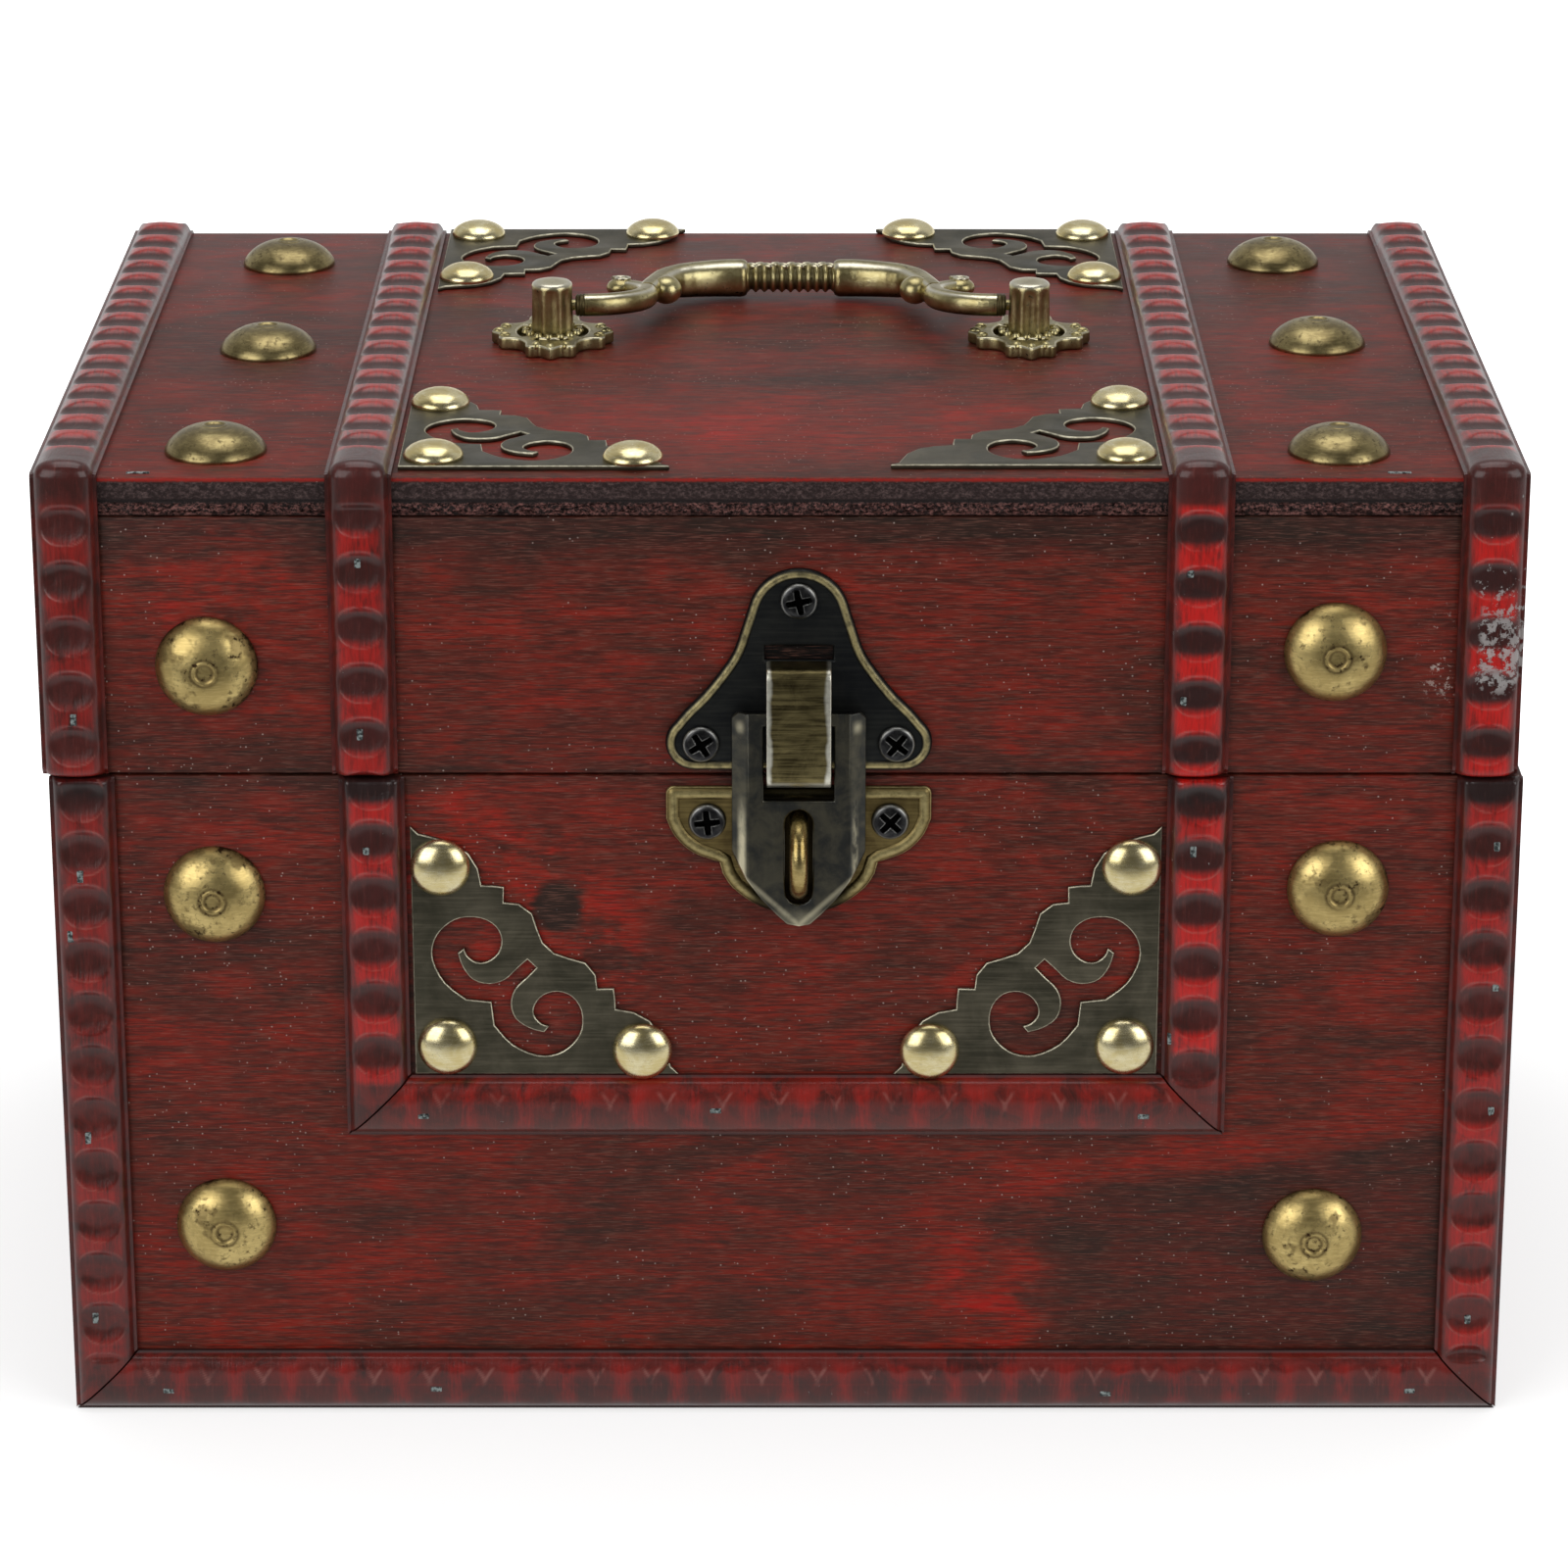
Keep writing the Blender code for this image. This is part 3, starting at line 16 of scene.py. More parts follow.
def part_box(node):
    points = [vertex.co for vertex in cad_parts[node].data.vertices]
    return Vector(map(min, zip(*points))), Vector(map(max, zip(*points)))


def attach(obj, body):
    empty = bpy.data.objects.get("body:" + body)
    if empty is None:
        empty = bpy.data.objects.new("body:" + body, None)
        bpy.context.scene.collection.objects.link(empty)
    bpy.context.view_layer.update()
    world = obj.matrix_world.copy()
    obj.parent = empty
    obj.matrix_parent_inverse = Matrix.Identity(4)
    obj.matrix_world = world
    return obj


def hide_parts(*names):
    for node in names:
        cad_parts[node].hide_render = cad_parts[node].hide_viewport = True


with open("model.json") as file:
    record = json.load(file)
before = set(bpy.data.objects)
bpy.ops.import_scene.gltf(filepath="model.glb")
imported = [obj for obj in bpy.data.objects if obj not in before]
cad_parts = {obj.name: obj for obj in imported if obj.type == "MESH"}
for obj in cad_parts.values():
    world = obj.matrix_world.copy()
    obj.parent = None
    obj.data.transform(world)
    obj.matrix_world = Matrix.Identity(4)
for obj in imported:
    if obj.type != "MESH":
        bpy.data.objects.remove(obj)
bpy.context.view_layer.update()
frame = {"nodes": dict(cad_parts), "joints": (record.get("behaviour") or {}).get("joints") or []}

# Case: front, back, side and bottom boards of 6 mm plywood, glued and nailed at the corners.
# The faces are stained deep red, wiped with a dark brown glaze along the grain and given a satin varnish,
# and every arris is sanded a little round.
MM = 0.001


def woven(grid, around=False, ends=False, closed=False):
    """Points and faces of a grid of rows by columns.

    around joins the last column to the first and closed the last row to the first; ends shuts both end rows on
    their middle points."""
    grid = np.asarray(grid, float)
    if ends:
        first = np.broadcast_to(grid[0].mean(0), grid[0].shape)
        last = np.broadcast_to(grid[-1].mean(0), grid[-1].shape)
        grid = np.concatenate([first[None], grid, last[None]])
    index = np.arange(grid.shape[0] * grid.shape[1]).reshape(grid.shape[:2])
    if around:
        index = np.concatenate([index, index[:, :1]], axis=1)
    if closed:
        index = np.concatenate([index, index[:1]], axis=0)
    faces = np.stack([index[:-1, :-1], index[:-1, 1:], index[1:, 1:], index[1:, :-1]], axis=-1)
    return grid.reshape(-1, 3), [faces.reshape(-1, 4)]


def together(*forms):
    """Several forms as one: their points in a row, their faces counted on."""
    points = []
    faces = []
    count = 0
    for form_points, form_faces in forms:
        points.append(form_points)
        faces += [block + count for block in form_faces]
        count += len(form_points)
    return np.concatenate(points), faces


def placed(form, centre, axes=((1, 0, 0), (0, 1, 0), (0, 0, 1))):
    """The form with its own x, y and z along the three axes, moved to the centre."""
    points, faces = form
    return points @ np.array(axes, float) + np.array(centre, float), faces


def points_of(x, y, z):
    """Points whose three coordinates are arrays, broadcast to one shape."""
    return np.stack(np.broadcast_arrays(x, y, z), axis=-1)


def rounded_block(low, high, radius, steps=3):
    """A block whose arrises are round: each direction of a sphere's grid, times the radius, is added to the
    corner of the shrunken block that lies on its side, and the flat faces span the jumps between corners."""
    low = np.array(low, float)
    high = np.array(high, float)
    quarter = np.linspace(0, 90, steps + 1)
    turns = np.radians(np.concatenate([quarter + 90 * side for side in range(4)]))
    sides_x = np.repeat([1, -1, -1, 1], steps + 1)
    sides_y = np.repeat([1, 1, -1, -1], steps + 1)
    rises = np.radians(np.concatenate([quarter - 90, quarter]))
    sides_z = np.repeat([-1, 1], steps + 1)
    level = np.cos(rises)[:, None]
    direction = points_of(level * np.cos(turns), level * np.sin(turns), np.sin(rises)[:, None])
    sides = points_of(sides_x, sides_y, sides_z[:, None])
    half = (high - low) / 2 - radius
    return woven((low + high) / 2 + sides * half + direction * radius, around=True, ends=True)


def cleaned(mesh, reach, flat=0):
    """Merges the mesh's points within reach, joins faces flatter than the angle and turns all faces outwards."""
    bm = bmesh.new()
    bm.from_mesh(mesh)
    bmesh.ops.remove_doubles(bm, verts=bm.verts[:], dist=reach)
    if flat:
        bmesh.ops.dissolve_limit(bm, angle_limit=math.radians(flat), verts=bm.verts[:], edges=bm.edges[:])
    bmesh.ops.recalc_face_normals(bm, faces=bm.faces[:])
    bm.to_mesh(mesh)
    bm.free()


def add_mesh(name, mesh, material, body, stands_for, sharp):
    """Shades a mesh smooth but for edges sharper than the angle, and fits its piece to the body."""
    mesh.shade_smooth()
    mesh.set_sharp_from_angle(angle=math.radians(sharp))
    mesh.materials.clear()
    mesh.materials.append(material)
    piece = bpy.data.objects.new(name, mesh)
    bpy.context.scene.collection.objects.link(piece)
    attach(piece, body)
    if stands_for:
        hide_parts(*stands_for)
    return piece


def add_piece(name, form, material, body, stands_for=(), sharp=35, values=None):
    """Makes a piece of a form, whose points carry the named values."""
    points, faces = form
    mesh = bpy.data.meshes.new(name)
    mesh.from_pydata(points, [], [face for block in faces for face in block.tolist()])
    for key, numbers in (values or {}).items():
        mesh.attributes.new(key, "FLOAT", "POINT").data.foreach_set("value", np.asarray(numbers, np.float32))
    cleaned(mesh, 0.001 * MM)
    return add_mesh(name, mesh, material, body, stands_for, sharp)


class Wire:
    """A socket of a material's nodes. Sums on it add Math nodes, and node() adds any other."""

    def __init__(self, tree, socket=None):
        self.tree = tree
        self.socket = socket

    def node(self, kind, settings=(), inputs=(), output=0):
        """Adds a shader node, makes its settings, then fills its sockets with values or wires."""
        made = self.tree.nodes.new("ShaderNode" + kind)
        for name, setting in dict(settings).items():
            setattr(made, name, setting)
        for key, value in dict(inputs).items():
            if isinstance(value, Wire):
                self.tree.links.new(value.socket, made.inputs[key])
            else:
                made.inputs[key].default_value = value
        return Wire(self.tree, made.outputs[output])

    def math(self, operation, *values, clamp=False):
        """A Math node on values or wires, held between 0 and 1 if clamped."""
        settings = {"operation": operation, "use_clamp": clamp}
        return self.node("Math", settings, dict(enumerate(values)))

    def __add__(self, other):
        return self.math("ADD", self, other)

    __radd__ = __add__

    def __sub__(self, other):
        return self.math("SUBTRACT", self, other)

    def __rsub__(self, other):
        return self.math("SUBTRACT", other, self)

    def __mul__(self, other):
        return self.math("MULTIPLY", self, other)

    __rmul__ = __mul__

    def __abs__(self):
        return self.math("ABSOLUTE", self)

    def held(self):
        """The value, kept between 0 and 1."""
        return self.math("ADD", self, 0, clamp=True)

    def rise(self, low, high):
        """0 below low, 1 above high and a smooth step between."""
        return self.node(
            "MapRange", {"interpolation_type": "SMOOTHSTEP"}, {"Value": self, "From Min": low, "From Max": high}
        )

    def near(self, place, width):
        """1 at a place on this scale, falling smoothly to 0 at the width away from it."""
        return 1 - abs(self - place).rise(0, width)

    def mix(self, low, high, blend="MIX"):
        """The colour low where this value is 0 and high where it is 1."""
        settings = {"data_type": "RGBA", "blend_type": blend}
        return self.node("Mix", settings, {0: self, 6: low, 7: high}, 2)

    def noise(self, waves, detail=3, rough=0.5, twist=0):
        """Noise over this vector, with so many waves in a millimetre, the same or another number on each axis."""
        waves = [value / MM for value in np.broadcast_to(waves, 3)]
        scaled = self.node("VectorMath", {"operation": "MULTIPLY"}, {0: self, 1: waves}, 0)
        inputs = {"Vector": scaled, "Scale": 1, "Detail": detail, "Roughness": rough, "Distortion": twist}
        return self.node("TexNoise", (), inputs, 0)

    def spots(self, waves, reach):
        """Small round spots, one in each cell, out to a reach that is a share of the cell."""
        scaled = self.node("VectorMath", {"operation": "SCALE"}, {0: self, 3: waves / MM}, 0)
        distance = self.node("TexVoronoi", (), {"Vector": scaled, "Scale": 1}, 0)
        return 1 - distance.rise(reach * 0.5, reach)

    def value(self, name):
        """A value that add_piece stored at the mesh's points."""
        return self.node("Attribute", {"attribute_name": name}, (), 2)

    def parts(self):
        """The x, y and z of this vector."""
        return [self.node("SeparateXYZ", (), {0: self}, axis) for axis in range(3)]


def tone(red, green, blue):
    """A linear colour from the three numbers, 0 to 255, that a picture of it shows."""
    shown = np.array([red, green, blue]) / 255
    linear = np.where(shown <= 0.04045, shown / 12.92, ((shown + 0.055) / 1.055) ** 2.4)
    return (*linear.tolist(), 1)


def place_in(tree):
    """The wire of the object's own coordinates."""
    return Wire(tree).node("TexCoord", (), (), 3)


def new_finish(name, metallic=0.0, coat=0.0):
    """An empty Principled material; returns it, its shader and the wire of the object's own coordinates."""
    material = bpy.data.materials.new(name)
    material.use_nodes = True
    shader = material.node_tree.nodes["Principled BSDF"]
    shader.inputs["Metallic"].default_value = metallic
    shader.inputs["Coat Weight"].default_value = coat
    return material, shader, place_in(material.node_tree)


def join(shader, **sockets):
    """Links wires to the shader's sockets, whose names are given with low lines for spaces."""
    for name, wire in sockets.items():
        wire.tree.links.new(wire.socket, shader.inputs[name.replace("_", " ")])


def bump(height, depth, strength=1.0):
    """A Bump node whose height of 1 stands the given number of metres out."""
    return height.node("Bump", (), {"Strength": strength, "Distance": depth, "Height": height}, 0)


STAIN_RED = tone(130, 27, 11)
STAIN_DEEP = tone(76, 30, 19)
STAIN_DARK = tone(44, 27, 20)


def stained_wood(name, flow, grain, darker=None, scuffed=None):
    """Red stain over wood: soft clouds of dark glaze, red mottles and streaks, dark pores, pale fibres and dust.

    flow and grain are the waves in a millimetre on the three axes, of the clouds and of the pores; darker says where
    glaze or painted shade lies, or below 0 where glaze was wiped off, and scuffed where the varnish is chipped."""
    material, shader, place = new_finish(name, coat=0.06)
    shader.inputs["Specular IOR Level"].default_value = 0.22
    shader.inputs["Coat Roughness"].default_value = 0.4
    clouds = place.noise(flow, 4, 0.6, 0.8)
    mottles = place.noise([value * 3.3 for value in flow], 4, 0.65, 0.6)
    streaks = place.noise([value * 0.55 for value in grain], 3, 0.6, 0.6)
    pores = place.noise(grain, 3, 0.6)
    fibres = place.noise([value * 2.2 for value in grain], 2, 0.6)
    redness = clouds.rise(0.38, 0.62) * 0.34 + mottles.rise(0.44, 0.66) * 0.52 + streaks.rise(0.40, 0.64) * 0.18
    shade = (1 - clouds.rise(0.34, 0.50)) * 0.25 + (1 - mottles.rise(0.30, 0.44)) * 0.25
    shade = shade + (1 - streaks.rise(0.34, 0.48)) * 0.2
    if darker:
        # darker may hold painted shade as well as glaze, and goes into the colour the same way.
        glaze = darker(place)
        redness = redness + (0 - glaze).held() * 0.7
        shade = shade + glaze
    colour = redness.held().mix(STAIN_DEEP, STAIN_RED)
    colour = (redness - 1).held().mix(colour, tone(176, 14, 8))
    colour = shade.held().mix(colour, STAIN_DARK)
    colour = (shade - 1.4).held().mix(colour, tone(8, 6, 6))
    colour = ((1 - pores.rise(0.40, 0.54)) * 0.55).mix(colour, tone(34, 22, 17))
    colour = (fibres.rise(0.50, 0.68) * 0.34).mix(colour, tone(128, 84, 70))
    dust = place.spots(0.8, 0.14) * place.noise(0.09, 3).rise(0.46, 0.58) * 0.6
    if scuffed:
        dust = dust + place.noise(0.8, 5, 0.72).rise(0.60, 0.64) * scuffed(place)
    colour = dust.held().mix(colour, tone(175, 158, 150))
    relief = bump(fibres * 0.7 + pores, 0.08 * MM)
    join(shader, Base_Color=colour, Roughness=pores * 0.2 + 0.38, Normal=relief)
    return material


SEAM_Z = 0.1062
FRONT_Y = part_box("case_front")[0].y
WALL_FLOW = (0.02, 0.02, 0.06)
WALL_GRAIN = (0.16, 0.16, 2.6)


def handling(place):
    """Glaze with painted shade along the seam and beside the mouldings, a darker band under the top board, a knot,
    painted shade behind the latch's slot, and a dark patch low on the right with a notched edge, under a bright
    streak that slants up to it. Below 0 the glaze was wiped off: along that edge, and in red blots beside the knot,
    high on the left and low on the right."""
    x, y, z = place.parts()
    torn = (place.noise((0.06, 0.06, 0.6), 5, 0.65) - 0.5) * 16 * MM
    # Painted shade with glaze along the seam and beside the mouldings; also darker in a band under the top board.
    seam = z.near(SEAM_Z, 4 * MM) * 0.4 + (z + torn * 0.2).rise(138 * MM, 145 * MM) * 0.8
    in_frame = z.rise(47 * MM, 52 * MM)
    beside = (abs(x).near(63.3 * MM, 8 * MM) * in_frame + abs(x).near(107.5 * MM, 8 * MM)) * 0.35
    step = (x - 45 * MM) * 0.185 + 36 * MM - z + torn * 0.12
    edge = x + torn * 0.25 - z.math("PINGPONG", z + 1 * MM, 5 * MM) * 1.3
    patch = step.rise(-1 * MM, 1.5 * MM) * (edge.rise(34 * MM, 38 * MM) * 0.7 + edge.rise(30 * MM, 60 * MM) * 0.5)
    streak = (step + 4 * MM).near(0, 4.5 * MM) * x.rise(10 * MM, 40 * MM)
    streak = streak + edge.near(32 * MM, 5 * MM) * (1 - z.rise(24 * MM, 31 * MM)) * 1.6
    across, up = x + 34.8 * MM + torn * 0.2, z - 84.8 * MM + torn * 0.15
    knot = 1 - (across * across * 1.1 + up * up * 0.8).rise(6 * MM * MM, 26 * MM * MM)
    blots = place.noise((0.10, 0.10, 0.20), 4, 0.65).rise(0.42, 0.57)
    wiped = (x + 46 * MM).near(0, 30 * MM) * (z - 86 * MM).near(0, 24 * MM) * 1.5
    wiped = wiped + (x + 42 * MM + torn * 0.3).near(0, 8 * MM) * (z - 91 * MM).near(0, 6 * MM) * 2
    wiped = wiped + (x + 28 * MM + torn * 0.3).near(0, 8 * MM) * (z - 80 * MM).near(0, 11 * MM) * 2
    wiped = wiped + (x + 86 * MM).near(0, 22 * MM) * (z - 132 * MM).near(0, 22 * MM) * 0.8
    wiped = (wiped + x.near(32 * MM, 14 * MM) * z.near(22 * MM, 16 * MM)).held() * blots * (1 - knot)
    # Painted shade: the wood seen through the latch's slot is painted near black.
    slot = (1 - abs(x - 2.4 * MM).rise(6 * MM, 7 * MM)) * (1 - abs(z - 126 * MM).rise(3 * MM, 4 * MM)) * 3
    front = 1 - y.rise(FRONT_Y, FRONT_Y + 5 * MM)
    return seam + beside + (patch * 0.5 - streak * 0.6 - wiped * 1.3 + knot * 1.05 + slot) * front


def chipped(place):
    """Where the varnish of the lid's front is chipped: beside its right moulding."""
    x, _, z = place.parts()
    return x.near(101 * MM, 6 * MM) * z.near(125 * MM, 11 * MM) * 1.2


wall_wood = stained_wood("wall_wood", WALL_FLOW, WALL_GRAIN, handling, chipped)
ARRIS = 0.35 * MM
for board in ("case_front", "case_back", "case_left", "case_right", "case_bottom"):
    low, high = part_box(board)
    add_piece(board + "_board", rounded_block(low, high, ARRIS), wall_wood, "case", (board,))

# Lid: the same stained plywood, its 6 mm top board laid over the four walls.
# The front edge of the top board shows its plies: a red face, a rough dark core, and a torn ply below.
TOP_FLOW = (0.02, 0.035, 0.035)
TOP_GRAIN = (0.16, 1.6, 2.6)
FACE_PLY = 0.6 * MM
GLUE_LINE = 3.8 * MM
TORN_PLY = 4.0 * MM
LID_TOP_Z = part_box("lid_top")[1].z
for board in ("lid_front", "lid_back", "lid_left", "lid_right"):
    low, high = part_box(board)
    add_piece(board + "_board", rounded_block(low, high, ARRIS), wall_wood, "lid", (board,))


def top_glaze(place):
    """A dark cloud across the middle of the top, and the red wiped bright in front of it."""
    x, y, _ = place.parts()
    torn = (place.noise((0.03, 0.06, 0.06), 4, 0.6) - 0.5) * 30 * MM
    cloud = (y + 18 * MM + torn * 0.3).near(0, 11 * MM) * (x - 8 * MM + torn).near(0, 42 * MM)
    wiped = (y + 46 * MM + torn * 0.4).near(0, 26 * MM) * (x + torn).near(0, 75 * MM)
    return cloud * 0.7 - wiped * 0.9


def top_wood():
    """The stained wood of the top, whose edges show the plies below a thin red face."""
    material = stained_wood("top_wood", TOP_FLOW, TOP_GRAIN, top_glaze)
    tree = material.node_tree
    shader = tree.nodes["Principled BSDF"]
    place = place_in(tree)
    _, _, z = place.parts()
    crumbs = place.noise((1.5, 1.5, 2.0), 4, 0.75)
    down = LID_TOP_Z - z + (crumbs - 0.5) * 0.6 * MM
    rubbed = (down - 0.15 * MM).near(0.25 * MM, 0.4 * MM)
    core = down.rise(FACE_PLY, FACE_PLY + 0.3 * MM)
    line = down.near(GLUE_LINE, 0.6 * MM)
    torn = down.rise(TORN_PLY, TORN_PLY + 0.3 * MM)
    face = Wire(tree, shader.inputs["Base Color"].links[0].from_socket)
    colour = (rubbed * 0.8).mix(face, tone(150, 26, 20))
    colour = core.mix(colour, crumbs.rise(0.42, 0.72).mix(tone(38, 24, 23), tone(88, 70, 68)))
    colour = line.mix(colour, tone(26, 17, 17))
    colour = torn.mix(colour, crumbs.rise(0.42, 0.66).mix(tone(26, 17, 16), tone(136, 92, 86)))
    relief = bump(crumbs * (core * 0.5 + torn * 0.5), 0.4 * MM)
    join(shader, Base_Color=colour, Normal=relief)
    return material


def middle_of(node):
    """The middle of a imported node's box."""
    return np.mean(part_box(node), axis=0)


def step_up(value, low, high):
    """0 below low, 1 above high and a smooth step between, for arrays."""
    share = np.clip((value - low) / (high - low), 0, 1)
    return share * share * (3 - 2 * share)


def torn_board(low, high):
    """The top board: one section carried along x, with round arrises. On its front edge the plies are set in by
    their own depths, and the torn one by random crumbs as well."""
    round_off = 0.45 * MM
    quarter = np.radians(np.linspace(0, 90, 5))[:, None]
    sine, cosine = np.sin(quarter) * round_off, np.cos(quarter) * round_off
    inner_low = np.array([low.y, low.z]) + round_off
    inner_high = np.array([high.y, high.z]) - round_off
    down = np.arange(0.6, 5.5, 0.22)[::-1, None] * MM
    section = np.concatenate([
        np.hstack([inner_low[0] - cosine[::-1], inner_high[1] + sine[::-1]])[::-1],
        np.hstack([inner_high[0] + sine, inner_high[1] + cosine]),
        np.hstack([inner_high[0] + cosine, inner_low[1] - sine]),
        np.hstack([inner_low[0] - sine, inner_low[1] - cosine]),
        np.hstack([np.full_like(down, low.y), high.z - down]),
    ])
    along = np.arange(low.x, high.x, 0.35 * MM)
    along = np.append(along, high.x)
    random = np.random.default_rng(5)
    shape = (len(along), len(section))
    coarse = np.repeat(np.repeat(random.random((shape[0] // 4 + 1, shape[1] // 3 + 1)), 4, 0), 3, 1)
    crumbs = 0.55 * coarse[:shape[0], :shape[1]] + 0.45 * random.random(shape)
    depth = high.z - section[:, 1]
    in_front = section[:, 0] < low.y + 0.01 * MM
    core = step_up(depth, FACE_PLY, FACE_PLY + 0.3 * MM) * (0.10 + 0.12 * crumbs)
    line = np.clip(1 - np.abs(depth - GLUE_LINE) / (0.5 * MM), 0, 1) * 0.35
    torn = step_up(depth, TORN_PLY, TORN_PLY + 0.3 * MM) * 0.95 * crumbs
    set_in = np.where(in_front, core + line + torn, 0) * MM
    edge = np.minimum(along - low.x, high.x - along)[:, None]
    inset = round_off - np.sqrt(np.clip(round_off**2 - np.clip(round_off - edge, 0, None) ** 2, 0, None))
    y = np.clip(section[:, 0] + set_in, low.y + inset, high.y - inset)
    z = np.clip(section[:, 1] + 0 * inset, low.z + inset, high.z - inset)
    return woven(points_of(along[:, None], y, z), around=True, ends=True)


add_piece("lid_top_board", torn_board(*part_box("lid_top")), top_wood(), "lid", ("lid_top",), sharp=50)

# Mouldings: lengths of pressed strip, glued and pinned on the front and over the top.
# Oval scoops are pressed into their round crown, one after another, each deeper at its upper end.
# The dark glaze stays in the scoops, and the ridges between are rubbed back to bright red. Painted shade darkens
# the case's strips under the seam and the edges of the lying strips; a painted highlight runs round the scoops.
STRIP_WIDTH = 10 * MM
STRIP_RISE = 3 * MM
LIP_WIDTH = 0.6 * MM
LIP_RISE = 0.8 * MM
SCOOP_PITCH = 8.75 * MM
SCOOP_DEPTH = 1.3 * MM
STEP_ALONG = 0.25 * MM
STEPS_ACROSS = 34


def strip_rise(along, across, first, deep=1.0, ridge=0.2):
    """How high the strip stands, the glaze in its scoops, how far its ridges are rubbed, its plain height, and
    the painted highlight along the rims of the scoops.

    The crown is a half ellipse between the lips. In each pitch an oval scoop, whose distances along and across
    add up in the powers 2.2 and 2.4, is taken away, deepest near its upper end; a ridge is left between two ovals."""
    share = np.clip(across / (STRIP_WIDTH / 2 - LIP_WIDTH), -1, 1)
    side = np.abs(share)
    crown = LIP_RISE + (STRIP_RISE - LIP_RISE) * np.sqrt(np.clip(1 - side**2.4, 0, 1))
    crown = np.where(np.abs(across) > STRIP_WIDTH / 2 - LIP_WIDTH, LIP_RISE, crown)
    phase = np.mod(along - first, SCOOP_PITCH) / SCOOP_PITCH
    half = (1 - ridge) / 2
    length = (np.abs(phase - half) / half) ** 2.2
    oval = length + (side / 0.84) ** 2.4
    slope = np.clip(1 - phase / (2 * half), 0, 1)
    scoop = (1 - step_up(oval, 0.0, 1.15)) * (0.55 + 0.45 * slope ** (0.3 + deep))
    pool = (1 - step_up(length, 0.1, 1.1)) * (1 - step_up(side, 0.72, 1.05))
    rubbed = step_up(np.abs(phase - half) + 0.25 * half * side**2, half * 0.56, half * 1.02)
    rubbed = rubbed * (1 - step_up(side, 0.60, 0.95))
    # Painted highlight: a thin pale line round each scoop's rim.
    rim = (1 - step_up(np.abs(oval - 1), 0, 0.16)) * (1 - step_up(side, 0.70, 0.84)) * min(deep, 1) ** 2
    return crown - SCOOP_DEPTH * deep * scoop, pool * min(deep, 1) ** 1.5, rubbed, crown, rim


def strip_form(start, end, across, out, first, rub=1.0, deep=1.0, ridge=0.2, plain=(0, 0), start_cut=0, end_cut=0,
               start_over=False, end_round=0.9):
    """A length of strip, with its glaze and rub. A cut shifts its end for each unit across, as a mitre does;
    start_over carries the start past the board's edge by its own rise and rounds it over, where it meets the
    strip round the corner; end_round is the radius in millimetres of a free end; plain is how much of each end
    has no scoops."""
    start = np.array(start, float)
    end = np.array(end, float)
    length = np.linalg.norm(end - start)
    way = (end - start) / length
    side = np.linspace(-1, 1, STEPS_ACROSS + 1)
    side = np.sign(side) * np.abs(side) ** 0.8 * STRIP_WIDTH / 2
    crown = strip_rise(np.zeros(1), side, first)[3]
    over_round = 0.85 * crown
    reach = crown - (1 - math.sqrt(0.5)) * over_round
    near = side * start_cut - (reach if start_over else 0)
    far = length + side * end_cut
    share = np.linspace(0, 1, int(length / STEP_ALONG) + 1)[:, None]
    along = near + (far - near) * share
    rise, pool, rubbed, _, rim = strip_rise(along, side[None], first, deep, ridge)
    shown = step_up(along, plain[0] - 1.5 * MM, plain[0])
    shown = shown * (1 - step_up(along, length - plain[1], length - plain[1] + 1.5 * MM))
    rise = crown + (rise - crown) * shown
    if start_over:
        gap = np.clip(over_round - along - crown, 0, over_round)
        rise = np.minimum(rise, crown - over_round + np.sqrt(over_round**2 - gap**2))
    for free, gap in ((not start_over and not start_cut, along - near), (not end_cut, far - along)):
        if free:
            soft = end_round * MM
            gap = np.clip(soft - gap, 0, soft)
            rise = np.maximum(rise - soft + np.sqrt(soft**2 - gap**2), 0.1 * MM)
    surface = start + way * along[..., None] + np.array(across) * side[:, None]
    surface = surface + np.array(out) * rise[..., None]
    foot = surface[:, [0, -1]] - np.array(out) * rise[:, [0, -1], None]
    grid = np.concatenate([foot[:, :1], surface, foot[:, 1:]], axis=1)
    hood = 0.6 * (1 - step_up(along, plain[0] - 3 * MM, plain[0])) if start_over else 0
    # upper tells a lying strip's upper side from its lower, for the painted light above and the painted reflection
    # below.
    lying = across[2] * side / (STRIP_WIDTH / 2)
    # On a lying strip the rim value is instead a painted highlight in thin forked lines between the scoops.
    if across[2]:
        aside = np.abs(np.mod(along - first, SCOOP_PITCH) - SCOOP_PITCH / 2)
        fork = np.abs(aside - np.clip(lying - 0.15, 0, 1) * 3.2 * MM)
        rim = (1 - step_up(fork, 0.1 * MM, 0.45 * MM)) * step_up(lying, -0.1, 0.1) * (1 - step_up(lying, 0.5, 0.6))
    values = {"pool": pool * shown * (0.35 + 0.65 * rub) + hood, "rubbed": rubbed * shown * rub,
              "upper": np.broadcast_to(lying, rise.shape), "rim": rim * shown}
    values = {key: np.pad(value, ((1, 1), (1, 1)), mode="edge").ravel() for key, value in values.items()}
    return woven(grid, around=True, ends=True), values


